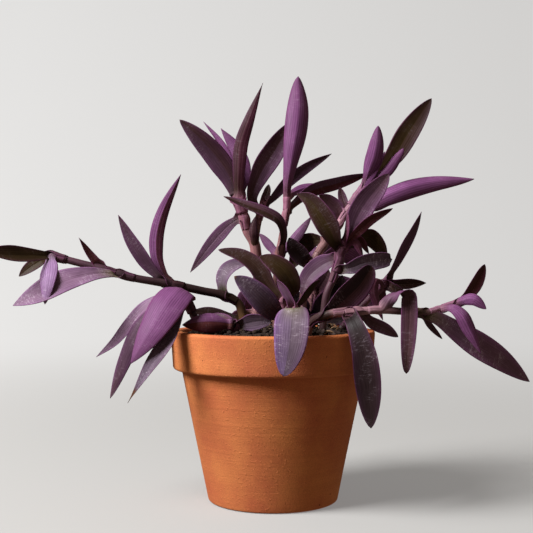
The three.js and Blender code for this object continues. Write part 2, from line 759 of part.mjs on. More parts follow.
// The hole that a stem stands in: its own lower end, with a gap all round.
function holeFor(stem) {
  const [curve] = curvesOf(stem);
  const hole = tube(curve, radiusAlong(curve, stem.routes[0].thick, [], STEM_GAP));
  const position = hole.getAttribute("position");
  for (let i = 0; i < position.count; i += 1) {
    if (position.getZ(i) < SOIL_EDGE - ROOT_DEPTH + 1) position.setZ(i, position.getZ(i) - SEAT_GAP);
  }
  return solidOf(hole);
}

const terracotta = new THREE.MeshStandardMaterial({ color: 0xc07a4b, roughness: 0.85, metalness: 0 });
const pottingSoil = new THREE.MeshStandardMaterial({ color: 0x241b17, roughness: 1, metalness: 0 });
const purpleLeaf = new THREE.MeshStandardMaterial({ color: 0x5a3a5c, roughness: 0.5, metalness: 0 });

const plant = new THREE.Group();

function addPiece(name, geometry, material) {
  const mesh = new THREE.Mesh(geometry, material);
  mesh.name = name;
  plant.add(mesh);
}

addPiece("pot", potGeometry(), terracotta);
const soil = STEMS.reduce((whole, stem) => whole.subtract(holeFor(stem)), solidOf(soilGeometry()));
addPiece("soil", geometryOf(soil), pottingSoil);
for (const stem of STEMS) {
  addPiece(stem.name, geometryOf(leafyStem(stem)), purpleLeaf);
}

export default plant;
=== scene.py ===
import math
import random

import bmesh
import bpy
from mathutils import Matrix, Vector, geometry, noise


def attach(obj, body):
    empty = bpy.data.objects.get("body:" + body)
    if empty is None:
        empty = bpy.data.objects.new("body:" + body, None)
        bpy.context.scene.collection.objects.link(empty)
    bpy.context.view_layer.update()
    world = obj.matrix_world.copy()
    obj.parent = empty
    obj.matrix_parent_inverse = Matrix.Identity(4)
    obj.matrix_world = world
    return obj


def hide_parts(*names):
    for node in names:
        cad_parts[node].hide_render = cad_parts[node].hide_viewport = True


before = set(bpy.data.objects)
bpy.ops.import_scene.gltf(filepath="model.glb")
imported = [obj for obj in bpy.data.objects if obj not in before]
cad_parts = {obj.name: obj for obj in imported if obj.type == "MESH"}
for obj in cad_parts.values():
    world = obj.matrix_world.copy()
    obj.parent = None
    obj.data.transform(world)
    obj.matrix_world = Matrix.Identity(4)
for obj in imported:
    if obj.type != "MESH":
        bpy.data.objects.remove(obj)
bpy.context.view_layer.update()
mm = 0.001
print("frame loaded")


def hexColor(text):
    # an sRGB hex value as linear RGBA
    channels = [int(text[i : i + 2], 16) / 255 for i in (1, 3, 5)]
    linear = [c / 12.92 if c <= 0.04045 else ((c + 0.055) / 1.055) ** 2.4 for c in channels]
    return (*linear, 1)


def addNode(tree, kind, links=(), out=0, stops=(), **settings):
    # links holds inputs by their name or number, or in order. Each is another node's output or a value
    node = tree.nodes.new("ShaderNode" + kind)
    for name, value in settings.items():
        setattr(node, name, value)
    for i, (at, color) in enumerate(stops):
        node.color_ramp.elements[i].position = at
        node.color_ramp.elements[i].color = hexColor(color)
    for socket, value in links.items() if isinstance(links, dict) else enumerate(links):
        if isinstance(value, bpy.types.NodeSocket):
            tree.links.new(value, node.inputs[socket])
        else:
            node.inputs[socket].default_value = value
    return node.outputs[out] if node.outputs else node


def startMaterial(name):
    material = bpy.data.materials.new(name)
    material.use_nodes = True
    material.node_tree.nodes.clear()
    return material, material.node_tree


def varyColor(tree, color, patterns):
    # a colour that each pattern darkens and lightens, by least at low to most at high
    for pattern, low, high, least, most in patterns:
        factor = addNode(tree, "MapRange", (pattern, low, high, least, most))
        inputs = {0: 1, 6: color, 7: factor}
        color = addNode(tree, "Mix", inputs, 2, data_type="RGBA", blend_type="MULTIPLY")
    return color


def smooth(value, low, high):
    share = min(1, max(0, (value - low) / (high - low)))
    return share * share * (3 - 2 * share)


def mix(a, b, share):
    return a + (b - a) * share


def linkMesh(bm, name, materials):
    mesh = bpy.data.meshes.new(name)
    bm.to_mesh(mesh)
    bm.free()
    for material in materials:
        mesh.materials.append(material)
    for polygon in mesh.polygons:
        polygon.use_smooth = True
    made = bpy.data.objects.new(name, mesh)
    bpy.context.scene.collection.objects.link(made)
    return made


def finishPiece(bm, name, materials, nodes=()):
    piece = linkMesh(bm, name, materials)
    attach(piece, "root")
    if nodes:
        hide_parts(*nodes)


# the terracotta pot
pot = {
    "height": 126,
    "rimRadius": 76.3,
    "rimHeight": 28.5,
    "rimTaper": 1.8,
    "bodyTopRadius": 68.3,
    "footRadius": 48.2,
    "wall": 6.5,
    "floor": 8,
    "drainRadius": 8,
    "edgeRound": 2.2,
    "footRound": 1.2,
    "turns": 180,  # steps round the axis
    "sectionStep": 2.6,  # greatest distance between points of the section
    "wobble": 0.16,  # how far the thrown clay strays from round
    "ridge": 0.05,  # height of the turning ridges
    "wobbleScale": 18,  # how many of each there are, roughly, to a metre
    "ridgeScale": 420,
}


def innerRadius(height):
    slope = (pot["bodyTopRadius"] - pot["footRadius"]) / (pot["height"] - pot["rimHeight"])
    return pot["footRadius"] + slope * height - pot["wall"]


def spinSection(section, closed, turns, step):
    # a section of (radius, height, corner rounding), turned about the pot's axis
    bm = bmesh.new()
    corners = [bm.verts.new((radius * mm, 0, height * mm)) for radius, height, _ in section]
    pairs = list(zip(corners, corners[1:] + corners[:1])) if closed else list(zip(corners, corners[1:]))
    for a, b in pairs:
        bm.edges.new((a, b))
    for corner, (_, _, rounding) in zip(corners, section):
        if rounding:
            bmesh.ops.bevel(
                bm, geom=[corner], offset=rounding * mm, offset_type="OFFSET", affect="VERTICES",
                segments=5, profile=0.5, material=-1, clamp_overlap=True,
            )
    for edge in list(bm.edges):
        cuts = int(edge.calc_length() / (step * mm))
        if cuts:
            bmesh.ops.subdivide_edges(bm, edges=[edge], cuts=cuts)
    bmesh.ops.spin(
        bm, geom=bm.verts[:] + bm.edges[:], cent=(0, 0, 0), axis=(0, 0, 1), dvec=(0, 0, 0),
        angle=math.tau, steps=turns, use_merge=True, use_duplicate=False,
    )
    bmesh.ops.remove_doubles(bm, verts=bm.verts, dist=1e-6)
    bmesh.ops.recalc_face_normals(bm, faces=bm.faces)
    return bm


def makeTerracotta():
    # unglazed earthenware, turned and fired: matt, sandy and warm, with grog specks and pinholes
    material, tree = startMaterial("unglazedTerracotta")
    place = addNode(tree, "TexCoord", out="Object")
    # firing clouds: broad paler and redder patches, some 40 mm across
    clouds = addNode(tree, "TexNoise", {"Vector": place, "Scale": 26, "Detail": 4, "Roughness": 0.55})
    clay = addNode(tree, "ValToRGB", [clouds], stops=((0.3, "#b15b38"), (0.72, "#cb7c45")))
    # grog: specks about 0.8 mm across, paler and darker than the clay
    grog = addNode(tree, "TexNoise", {"Vector": place, "Scale": 1300, "Detail": 3, "Roughness": 0.7})
    # turning lines: stretched noise makes faint level bands 1 to 3 mm apart
    flat = addNode(tree, "Mapping", {"Vector": place, "Scale": (3, 3, 420)})
    bands = addNode(tree, "TexNoise", {"Vector": flat, "Scale": 1, "Detail": 3, "Roughness": 0.6})
    clay = varyColor(tree, clay, ((grog, 0.35, 0.65, 0.86, 1.12), (bands, 0.3, 0.7, 0.95, 1.05)))
    # pinholes: a few ragged pits about 1 mm across, sunk in the bump and darkened with painted shade
    ragged = addNode(tree, "TexNoise", {"Vector": place, "Scale": 500, "Detail": 2}, "Color")
    bent = addNode(tree, "Mix", {0: 0.0012, 4: place, 5: ragged}, 1, data_type="VECTOR")
    cells = addNode(tree, "TexVoronoi", {"Vector": bent, "Scale": 105}, "Distance")
    chance = addNode(tree, "TexNoise", {"Vector": place, "Scale": 70, "Detail": 1})
    rarity = addNode(tree, "MapRange", (chance, 0.5, 0.7, 0, 0.1))
    pit = addNode(tree, "Math", (cells, rarity), operation="LESS_THAN")
    # painted shade in the pits
    clay = addNode(tree, "Mix", {0: pit, 6: clay, 7: hexColor("#7a3f20")}, 2, data_type="RGBA")
    # raised grains of sand, about 1 mm across, here and there
    grains = addNode(tree, "TexNoise", {"Vector": place, "Scale": 520, "Detail": 1})
    raised = addNode(tree, "MapRange", (grains, 0.62, 0.74, 0, 0.75))
    skin = addNode(tree, "Math", (grog, bands))
    sandy = addNode(tree, "Math", (skin, raised))
    relief = addNode(tree, "Math", (sandy, pit), operation="SUBTRACT")
    bump = addNode(tree, "Bump", {"Height": relief, "Strength": 0.5, "Distance": 0.4 * mm})
    matt = {"Base Color": clay, "Normal": bump, "Roughness": 0.82, "IOR": 1.5, "Specular IOR Level": 0.3}
    shader = addNode(tree, "BsdfPrincipled", matt)
    addNode(tree, "OutputMaterial", [shader])
    return material


def makePot():
    rimFoot = pot["height"] - pot["rimHeight"]
    slope = (pot["bodyTopRadius"] - pot["footRadius"]) / rimFoot
    section = [
        (pot["drainRadius"], 0, 0.5),
        (pot["footRadius"], 0, pot["footRound"]),
        (pot["footRadius"] + slope * rimFoot, rimFoot, 0.9),
        (pot["rimRadius"] - pot["rimTaper"], rimFoot, pot["edgeRound"]),
        (pot["rimRadius"], pot["height"], pot["edgeRound"]),
        (innerRadius(pot["height"]), pot["height"], pot["edgeRound"]),
        (innerRadius(pot["floor"]), pot["floor"], 2),
        (pot["drainRadius"], pot["floor"], 1),
    ]
    bm = spinSection(section, True, pot["turns"], pot["sectionStep"])
    for vert in bm.verts:
        radius = math.hypot(vert.co.x, vert.co.y)
        stray = noise.noise(vert.co * pot["wobbleScale"]) * pot["wobble"]
        ridges = noise.noise(Vector((0, 0, vert.co.z * pot["ridgeScale"]))) * pot["ridge"]
        share = 1 + (stray + ridges) * mm / radius
        vert.co.x *= share
        vert.co.y *= share
    finishPiece(bm, "terracottaPot", [makeTerracotta()], ["pot"])
    print("pot made")


makePot()

# the soil, with crumbs and chips of bark on it
soil = {
    "edge": 123,  # its height where it meets the pot
    "mound": 4,  # and how much higher its middle is
    "gap": 0.35,  # clearance to the pot
    "lump": 1.1,
    "turns": 120,
    "sectionStep": 1.8,
    "crumbs": 1100,
    "crumbSize": (0.7, 2.6),  # radius
    "crumbReach": 0.985,  # how far out they lie, as a share of the soil's radius
    "crumbLumps": 0.35,
    "crumbFlat": 0.75,
    "chips": 60,
    "chipSize": (2.5, 7),  # length, and then width and thickness as shares of it
    "chipSlim": (0.2, 0.5),
    "chipFlat": (0.12, 0.25),
    "chipReach": 0.93,
    "chipTilt": 0.3,
    "seed": 11,
}


def soilHeight(x, y):
    share = math.hypot(x, y) / innerRadius(soil["edge"])
    broad = noise.noise(Vector((x * 0.07, y * 0.07, 3)))
    fine = noise.noise(Vector((x * 0.3, y * 0.3, 7)))
    return soil["edge"] + soil["mound"] * (1 - share**2) + soil["lump"] * (broad * 2 + fine)


def makeSoilMix():
    # damp peat mix: almost black, crumbly, with brown fibre
    material, tree = startMaterial("dampPeatMix")
    place = addNode(tree, "TexCoord", out="Object")
    crumbs = addNode(tree, "TexNoise", {"Vector": place, "Scale": 420, "Detail": 6, "Roughness": 0.7})
    peat = addNode(tree, "ValToRGB", [crumbs], stops=((0.35, "#0f0b09"), (0.68, "#3a2b22")))
    bump = addNode(tree, "Bump", {"Height": crumbs, "Strength": 0.8, "Distance": 0.8 * mm})
    damp = {"Base Color": peat, "Normal": bump, "Roughness": 0.9, "Specular IOR Level": 0.25}
    shader = addNode(tree, "BsdfPrincipled", damp)
    addNode(tree, "OutputMaterial", [shader])
    return material


def makeBark():
    # shredded bark: dull tan-brown chips in the mix
    material, tree = startMaterial("shreddedBark")
    place = addNode(tree, "TexCoord", out="Object")
    grain = addNode(tree, "TexNoise", {"Vector": place, "Scale": 600, "Detail": 4})
    bark = addNode(tree, "ValToRGB", [grain], stops=((0, "#2b1d14"), (1, "#6d513a")))
    shader = addNode(tree, "BsdfPrincipled", {"Base Color": bark, "Roughness": 0.85})
    addNode(tree, "OutputMaterial", [shader])
    return material


def makeSoil():
    material = makeSoilMix()
    foot = pot["floor"] + soil["gap"]
    edgeRadius = innerRadius(soil["edge"]) - soil["gap"]
    section = [
        (0, foot, 0),
        (innerRadius(foot) - soil["gap"], foot, 2),
        (edgeRadius, soil["edge"], 0.6),
        (0, soil["edge"], 0),
    ]
    bm = spinSection(section, False, soil["turns"], soil["sectionStep"])
    for vert in bm.verts:
        if vert.co.z > (soil["edge"] - 0.3) * mm:
            vert.co.z = soilHeight(vert.co.x / mm, vert.co.y / mm) * mm
    finishPiece(bm, "soilBody", [material], ["soil"])

    draw = random.Random(soil["seed"])
    bm = bmesh.new()
    for i in range(soil["crumbs"]):
        reach = edgeRadius * math.sqrt(draw.random()) * soil["crumbReach"]
        angle = draw.uniform(0, math.tau)
        size = mix(*soil["crumbSize"], draw.random() ** 2.5)
        x, y = reach * math.cos(angle), reach * math.sin(angle)
        made = bmesh.ops.create_icosphere(bm, subdivisions=1, radius=size * mm)["verts"]
        for vert in made:
            vert.co *= 1 + soil["crumbLumps"] * noise.noise(vert.co / (size * mm) + Vector((i, 0, 0)))
            vert.co.z *= soil["crumbFlat"]
            vert.co += Vector((x, y, soilHeight(x, y) + size * 0.3)) * mm
    finishPiece(bm, "soilCrumbs", [material])

    bm = bmesh.new()
    for _ in range(soil["chips"]):
        reach = edgeRadius * math.sqrt(draw.random()) * soil["chipReach"]
        angle = draw.uniform(0, math.tau)
        size = draw.uniform(*soil["chipSize"])
        x, y = reach * math.cos(angle), reach * math.sin(angle)
        made = bmesh.ops.create_icosphere(bm, subdivisions=1, radius=size / 2 * mm)["verts"]
        slim, flat = draw.uniform(*soil["chipSlim"]), draw.uniform(*soil["chipFlat"])
        bmesh.ops.scale(bm, vec=(1, slim, flat), verts=made)
        heading = Matrix.Rotation(draw.uniform(0, math.tau), 3, "Z")
        tilt = Matrix.Rotation(draw.uniform(-soil["chipTilt"], soil["chipTilt"]), 3, "X")
        bmesh.ops.rotate(bm, cent=(0, 0, 0), matrix=heading @ tilt, verts=made)
        bmesh.ops.translate(bm, vec=Vector((x, y, soilHeight(x, y) + 0.8)) * mm, verts=made)
    finishPiece(bm, "barkChips", [makeBark()])
    print("soil made")


makeSoil()

# A point of a route is (across, back, up). Across and up are where it is seen, from the viewpoint,
# against the upright plane through the pot's axis, and back is how far behind that plane it lies.
# A leaf's line runs from its foot, on the nearest stem, to its tip. Wide is its greatest width, and turn
# is how far its upper face is turned from the viewer, in degrees. Other is the look of its second half,
# and flip is how far its foot is turned further than the rest. The names that bladeShape has too say
# the same there. Two looks on one blade are partly its own two tones and partly painted light and
# shade across the fold, for the half that faces the light and the half that faces away.


def route(thick, *points):
    return {"thick": thick, "points": points}


def leaf(look, wide, turn, *line, **shape):
    return {"look": look, "wide": wide, "turn": turn, "line": line, **shape}


longLeftStem = {  # trails over the rim to the left
    "node": "stem_long_left", "root": (-20, 6), "bark": "old",
    "routes": [
        route((3.4, 2.6), (-22.5, 6, 136.5), (-26, 5, 146), (-38, 2, 152), (-52.5, -2, 155),
            (-76, -8, 160), (-105, -14, 165), (-127.5, -16, 171.5), (-153, -16, 178),
            (-167, -16, 181.5)),
    ],
    "leaves": [
        leaf("ashen", 15, -40, (-35, 2, 153), (-37.5, 3, 163), (-33, 5, 171), (-25, 8, 175),
            (-16, 9, 175.5), widest=0.55),
        leaf("dusky", 14, -34, (-80, -8, 158), (-91, -11, 172.5), (-104, -15, 191), (-116, -18, 212),
            widest=0.45, tip=0.9),
        leaf("wine", 11, 190, (-77, -7, 160), (-86, -3, 177), (-87.5, 0, 189.5), (-86, 1, 202.5),
            (-81, 2, 218), (-69, 4, 242.5), other="violet", fold=13, widest=0.4, tip=0.9),
        leaf("wine", 7, 30, (-127.5, -16, 172), (-136.5, -17, 181.5), (-145.5, -20, 195), foot=0.9,
            widest=0.2, tip=1),
        leaf("pale", 21, 35, (-113, -14, 167), (-129.5, -27, 168), (-144.5, -36, 165.5),
            (-159.5, -42, 161), (-174.5, -46, 153.5), (-195, -48, 144), fold=10, foot=0.3, widest=0.62,
            tip=0.95),
        leaf("pale", 14, 188, (-165, -16, 181), (-168, -33, 173), (-169.5, -47, 160), (-171, -51, 145),
            fold=12, widest=0.45, tip=0.8),
        leaf("olive", 16, 40, (-163, -16, 181.5), (-179, -32, 181.5), (-198, -52, 182),
            (-215, -68, 184), widest=0.6),
        leaf("olive", 10, 20, (-166, -16, 181), (-180, -19, 174), (-190.5, -22, 166), tip=0.8),
        leaf("brown", 10, 30, (-22, 6, 132), (-36, 9, 135.5), (-49, 11, 139), (-62, 11, 139)),
    ],
}
shortLeftStem = {  # leans out over the left of the rim, with its leaves hanging
    "node": "stem_short_left", "root": (-42, -14), "bark": "old",
    "routes": [
        route((3.2, 2.6), (-52.5, -15, 129), (-58, -16, 134), (-62, -17, 142.5), (-67, -18, 150),
            (-72, -19, 154.5)),
    ],
    "leaves": [
        leaf("violet", 27, 202, (-66, -18, 149), (-69, -32, 156.5), (-77.5, -44, 148),
            (-92.5, -54, 124), (-106.5, -56, 100.5), fold=12, foot=0.8, widest=0.37, tip=0.9),
        leaf("pale", 13, 40, (-71, -19, 154), (-92, -21, 145), (-106.5, -22, 130), (-119, -22, 116),
            (-132.5, -22, 105.5), widest=0.45, tip=1),
        leaf("dusky", 14, 26, (-71, -19, 154), (-88.5, -27, 141), (-101, -30, 126), (-112, -31, 102),
            (-122, -30, 74.5), fold=-12, widest=0.45, tip=0.8),
        leaf("greyDry", 14, 32, (-65, -18, 147), (-71, -35, 138), (-80, -50, 116), (-93.5, -56, 96),
            (-109, -56, 71), widest=0.45, tip=1.5),
    ],
}
rimLeftStem = {  # a short shoot whose leaves lie along the rim
    "node": "stem_rim_left", "root": (-30, -27), "bark": "old",
    "routes": [
        route((2.8, 2.4), (-30, -28, 124), (-28, -29, 128)),
    ],
    "leaves": [
        leaf("ashen", 14, 15, (-28, -28, 127.5), (-19, -32, 131), (-10.5, -36, 132.5), (-1, -38, 131.5),
            tip=0.8),
        leaf("wine", 16, 16, (-30, -28, 128.5), (-38, -36, 131), (-52, -40, 131.5), (-68, -38, 129.5),
            other="violet", fold=-24, foot=0.25, widest=0.5, tip=0.9),
        leaf("dark", 9, 30, (-29, -28, 128), (-38, -16, 134), (-48, -10, 137)),
    ],
}
tallLeftStem = {  # forks into two leafy tops
    "node": "stem_tall_left", "root": (-6, 18), "bark": "rusty",
    "routes": [
        route((5.8, 3.5), (-8, 18, 148.5), (-12, 16, 177), (-14, 14, 191), (-19, 12, 200),
            (-22, 10, 211), (-24, 9, 218), (-25.5, 8, 222.5)),
        route((2.6, 2.2), (-13.5, 14, 189), (-12, 16, 200), (-10.5, 18, 209), (-8, 20, 218),
            (-7, 21, 223)),
    ],
    "leaves": [
        leaf("dusky", 18, -10, (-25, 8, 221), (-33.5, 4, 241.5), (-45.5, 0, 258.5), (-58.5, -4, 272.5),
            (-70, -6, 283.5), other="dark", fold=-14, foot=0.5, widest=0.45, tip=0.75),
        leaf("violet", 8, 130, (-25, 8, 223), (-30, 12, 245), (-37, 14, 262), (-52, 18, 282), tip=1),
        leaf("violet", 13, 170, (-25, 8, 224), (-22, 18, 242), (-27, 26, 259.5), (-39, 32, 277), tip=1),
        leaf("wine", 11, 180, (-25, 8, 222), (-25.5, 2, 244.5), (-24, 0, 264), (-18, -2, 283),
            (-7.5, 0, 311), other="brown", fold=14, foot=0.6, widest=0.4, tip=1.25),
        leaf("dusky", 11, 10, (-22, 10, 211), (-32, 16, 205), (-42, 20, 195), (-52.5, 22, 182),
            (-62, 22, 169), fold=8, widest=0.4, tip=0.9),
        leaf("dark", 18, 4, (-10, 19, 213), (-15.5, 16, 224), (-9.5, 15, 243), (1.5, 14, 261),
            (14, 14, 282), other="dusky", foot=0.3, widest=0.58, tip=0.75),
        leaf("brown", 6, 0, (-7.5, 21, 221), (-5, 24, 227), (-3, 27, 235)),
        leaf("dusky", 10, 20, (-8, 20, 217), (0, 28, 225), (11, 34, 237), (26, 38, 248), (44, 40, 258),
            tip=0.9),
        leaf("olive", 8, 165, (-13.5, 13, 188), (-15, 8, 196), (-15, 7, 203), (-13, 8, 211), fold=20,
            foot=0.95, widest=0.3, tip=0.8),
    ],
}
lowMiddleStem = {  # low leaves that hide the tall stems' feet
    "node": "stem_low_middle", "root": (8, -30), "bark": "rusty",
    "routes": [
        route((3, 2.6), (8, -30, 137), (8, -31, 149)),
    ],
    "leaves": [
        leaf("brown", 15, 30, (8, -30, 146), (-4, -27, 159), (-13, -23, 173), (-24, -20, 181),
            (-41, -18, 186), widest=0.45, tip=0.7),
        leaf("olive", 17, 20, (8, -31, 147), (14, -37, 156), (10, -40, 167), (1, -40, 175.5),
            (-10, -38, 181), widest=0.5, tip=0.7),
        leaf("darkDry", 18, 0, (8, -30, 134), (0, -42, 140), (-8, -47, 149), (-19, -48, 159),
            (-29, -46, 166), fold=12, widest=0.5, tip=0.75),
    ],
}
frontStem = {  # one broad leaf hangs over the front of the rim
    "node": "stem_front", "root": (16, -52), "bark": "rusty",
    "routes": [
        route((3, 2.8), (16.5, -54, 130), (16, -58, 137), (16, -60, 142)),
    ],
    "leaves": [
        leaf("ashen", 24, 12, (16, -59, 141), (15.5, -74, 140.5), (14.5, -84, 131), (13, -87, 114),
            (8, -85, 91), other="silver", footEnd=0.5, fold=8, foot=0.45, widest=0.46, tip=0.6),
        leaf("dusky", 8, -30, (15.5, -59, 142), (10.5, -60, 154), (3, -57, 163.5), fold=34, tip=0.9),
        leaf("olive", 8, 40, (16, -58, 140), (23, -62, 151.5), (29, -61, 159), (35, -57, 163.5),
            fold=34),
    ],
}
tallMiddleStem = {
    "node": "stem_tall_middle", "root": (3, 0), "bark": "rusty",
    "routes": [
        route((3.3, 2.2), (2, -2, 148.5), (3, -4, 167), (4, -6, 181), (6, -6, 191), (8, -6, 202.5),
            (10, -5, 214.5), (11, -4, 226.5)),
    ],
    "leaves": [
        leaf("violet", 21, 186, (11, -4, 221), (11, -8, 234), (14, -10, 253.5), (18, -8, 277.5),
            (19.5, -4, 295.5), (19, 4, 316), fold=32, foot=0.28, widest=0.62, tip=0.66),
        leaf("dusky", 11, 20, (10, -5, 213), (16, 3, 221), (28, 9, 230), (48, 15, 236), (72, 21, 243),
            other="wine", widest=0.5, tip=0.8),
        leaf("violet", 9, 160, (11, -4, 225), (22, 8, 231.5), (43, 20, 234)),
        leaf("brown", 9.5, 30, (4.5, -6, 184), (7.5, -13, 196.5), (4, -17, 208), (-6, -19, 214),
            (-19, -19, 219), (-37, -17, 226), other="dark", foot=0.8, widest=0.5, tip=0.8),
        leaf("dusky", 9, 150, (5, -6, 181), (11, 2, 188), (19, 6, 198), (29, 10, 211), tip=0.9),
        leaf("dusky", 7, 170, (4, -5, 181), (-4, 0, 190.5), (-10, 4, 198)),
    ],
}
tallRightStem = {  # leans to the right, with the longest upright leaves
    "node": "stem_tall_right", "root": (22, 2), "bark": "pink",
    "routes": [
        route((3.3, 2.5), (22.5, 2, 148.5), (27, 0, 168), (31, 0, 178.5), (38, 2, 190), (47.5, 4, 202),
            (55, 6, 214), (63, 8, 225), (69, 8, 234)),
    ],
    "leaves": [
        leaf("violet", 15, 175, (69, 8, 232), (72, 2, 245), (76, -2, 256.5), (78, -4, 268),
            (79, -4, 279), fold=32, foot=0.35, widest=0.5, tip=0.7),
        leaf("olive", 17.5, -5, (69, 8, 233), (81, 11, 244.5), (91, 12, 256.5), (101, 11, 273),
            (110, 9, 286.5), (119, 6, 299.5), other="brown", foot=0.35, widest=0.58, tip=0.75),
        leaf("violet", 12, 150, (69, 8, 232), (84, 3, 245), (92, 1, 255), (98, 0, 262), fold=38,
            foot=0.5, widest=0.5, tip=0.55),
        leaf("violet", 7, 150, (64, 8, 226), (73.5, 4, 242), (84, 4, 259.5)),
        leaf("violet", 18.5, 162, (65, 8, 227), (74, 3, 221), (85.5, 1, 226.5), (101, 1, 232.5),
            (121.5, 4, 237), (151, 8, 239), fold=34, foot=0.7, widest=0.42, tip=0.85),
        leaf("dark", 12, 10, (49, 4, 206), (49, 7, 214.5), (42, 6, 222), (34.5, 3, 227)),
        leaf("dark", 7, 0, (55, 6, 215), (52.5, 12, 223.5), (50, 14, 233)),
        leaf("olive", 15, 0, (37, 2, 191), (31, 9, 193.5), (22.5, 12, 189), (18, 13, 181),
            (13, 12, 171), widest=0.45),
        # a near-black lobe: painted shade, filling a shaded patch among the leaves here
        leaf("black", 14, 5, (27, 1, 173), (22, -4, 180), (16, -6, 187), (12, -6, 195), foot=0.5,
            widest=0.5),
    ],
}
innerRightStem = {  # a crown of leaves in front of the tall right stem
    "node": "stem_inner_right", "root": (36, -22), "bark": "violet",
    "routes": [
        route((2.8, 2.6), (40, -22, 151.5), (45, -22, 164), (49, -22, 175.5), (50, -22, 183),
            (52.5, -22, 188)),
    ],
    "leaves": [
        leaf("olive", 17, -10, (51, -22, 185), (46.5, -29, 192), (42, -32, 202.5), (35, -32, 214),
            (28, -30, 223), (18, -27, 228), other="brown", foot=0.35, widest=0.45, tip=0.8),
        leaf("wine", 8, 100, (52, -22, 186), (55, -30, 199), (56, -31, 214.5)),
        leaf("dusky", 18, 2, (52, -22, 187), (58, -24, 197), (63, -24, 210), (70, -22, 222),
            (79, -20, 233), (87, -18, 243), foot=0.4, widest=0.5, tip=0.65),
        leaf("wine", 8, 20, (52, -22, 186), (62, -30, 198), (73.5, -33, 208.5), (90, -33, 217)),
        leaf("olive", 14, 30, (52, -22, 186), (64, -13, 193.5), (72, -9, 196), (79.5, -8, 189),
            (85, -8, 177), widest=0.5),
        leaf("wine", 6, 160, (52, -22, 187), (61, -27, 192), (67.5, -27, 181)),
        leaf("wine", 6, 20, (52, -22, 187), (64, -18, 194), (72, -17, 183)),
        leaf("ashen", 14, 20, (48, -22, 170), (58, -28, 172.5), (67.5, -31, 176), (77, -31, 178),
            (88.5, -29, 179), widest=0.6, tip=0.2, torn=3),
        leaf("dusky", 16, 28, (49, -22, 178), (41, -16, 176.5), (33, -14, 171.5), (26, -14, 164),
            (22, -15, 152), widest=0.4, tip=0.6),
    ],
}
backRightStem = {
    "node": "stem_back_right", "root": (52, 18), "bark": "violet",
    "routes": [
        route((2.8, 2.4), (58, 17, 134), (66, 14, 143), (74, 11, 151), (80, 8, 157.5), (86, 6, 164)),
    ],
    "leaves": [
        leaf("dusky", 9, 30, (85, 6, 163), (92, 4, 175), (99, 2, 189), (106, 2, 202), (111.5, 4, 214.5),
            tip=1),
        leaf("brown", 9, 20, (83, 7, 161), (97, 5, 160.5), (106, 4, 161), (115, 4, 161), tip=0.9),
        leaf("brown", 8, 20, (83, 7, 161), (90, 2, 157.5), (99, 0, 153.5)),
        leaf("wine", 9, 150, (82, 8, 159), (78, 0, 163), (76, -6, 154.5), (79, -10, 144),
            (82.5, -12, 133), tip=0.9),
        leaf("dark", 10, 10, (83, 7, 160), (80, 14, 154), (84, 18, 145)),
        leaf("black", 12, 20, (60, 17, 134), (50, 21, 134), (38, 23, 134), (27, 23, 136), foot=0.4),
    ],
}
longRightStem = {  # trails over the rim to the right
    "node": "stem_long_right", "root": (24, -42), "bark": "trailing",
    "routes": [
        route((3.2, 2.2), (28.5, -43, 130.5), (35, -46, 135), (46, -48, 138.5), (56, -49, 139),
            (67.5, -49, 140), (79, -48, 141), (94, -44, 140), (106.5, -39, 139), (118, -33, 139.5),
            (129, -27, 143), (138, -22, 145.5)),
    ],
    "leaves": [
        leaf("black", 21, 22, (36, -45, 136), (46, -42, 142.5), (55.5, -42, 151), (65, -43, 160.5),
            (74, -43, 174), other="dark", foot=0.45, widest=0.5, tip=0.42),
        # near-black: partly its own colour, partly painted shade for the plant's shade on the right
        leaf("black", 19, 20, (56, -49, 139), (60, -60, 133), (64.5, -66, 122), (69, -68, 106.5),
            (72, -69, 81), (73.5, -70, 52), footEnd=0.5, fold=8, foot=0.55, widest=0.6, tip=0.7),
        leaf("dark", 10, 20, (65, -49, 140), (74, -45, 132), (85, -43, 126.5), (94, -41, 120.5)),
        leaf("dark", 12, 14, (82, -48, 141), (90, -50, 151), (96, -51, 154.5), (101.5, -50, 153),
            (102.5, -49, 144), (102, -49, 124.5), (100, -49, 93), flip=180, fold=14, foot=0.7,
            widest=0.5, tip=0.5),
        leaf("worn", 21, -22, (110, -37, 138.5), (122, -34, 135), (136, -29, 125.5), (154, -22, 114),
            (173, -12, 102), (192.5, 0, 87), fold=9, foot=0.4, widest=0.5, tip=0.85),
        leaf("violet", 12, 170, (125, -29, 141.5), (134, -36, 143), (142, -39, 137), (148, -38, 126),
            (156, -35, 108), fold=26, tip=1.1),
        leaf("wine", 11, 20, (134, -25, 144.5), (144, -20, 150), (152, -16, 160.5), (159, -12, 175),
            widest=0.6, tip=0.7),
        leaf("violet", 9, 170, (136, -24, 145), (145, -26, 148.5), (151, -28, 148.5),
            (160, -28, 141.5)),
        leaf("dark", 5, 30, (110, -37, 138.5), (119, -28, 128), (127, -24, 119)),
    ],
}
backLeftStem = {  # short shoots behind, out of sight from the front
    "node": "stem_back_left", "root": (-14, 42), "bark": "rusty",
    "routes": [
        route((2.8, 2.4), (-14, 45, 130), (-12, 50, 142), (-10, 56, 150)),
    ],
    "leaves": [
        leaf("violet", 18, 170, (-10, 56, 149), (-8, 68, 158), (-6, 80, 158), (-4, 91, 144), foot=0.4,
            widest=0.5),
        leaf("dark", 17, 160, (-11, 54, 147), (-16, 66, 153), (-20, 78, 147), (-23, 87, 130), foot=0.4,
            widest=0.5),
        leaf("dark", 16, 200, (-12, 50, 143), (-4, 62, 147), (6, 74, 143), (12, 85, 130), foot=0.4,
            widest=0.5),
        leaf("brown", 14, 150, (-13, 47, 137), (-20, 57, 139), (-26, 68, 134), (-30, 78, 120), foot=0.4,
            widest=0.5),
        leaf("black", 12, 15, (-13.5, 46, 134), (-5, 40, 135), (5, 38, 136), (15, 38, 137), foot=0.4),
    ],
}
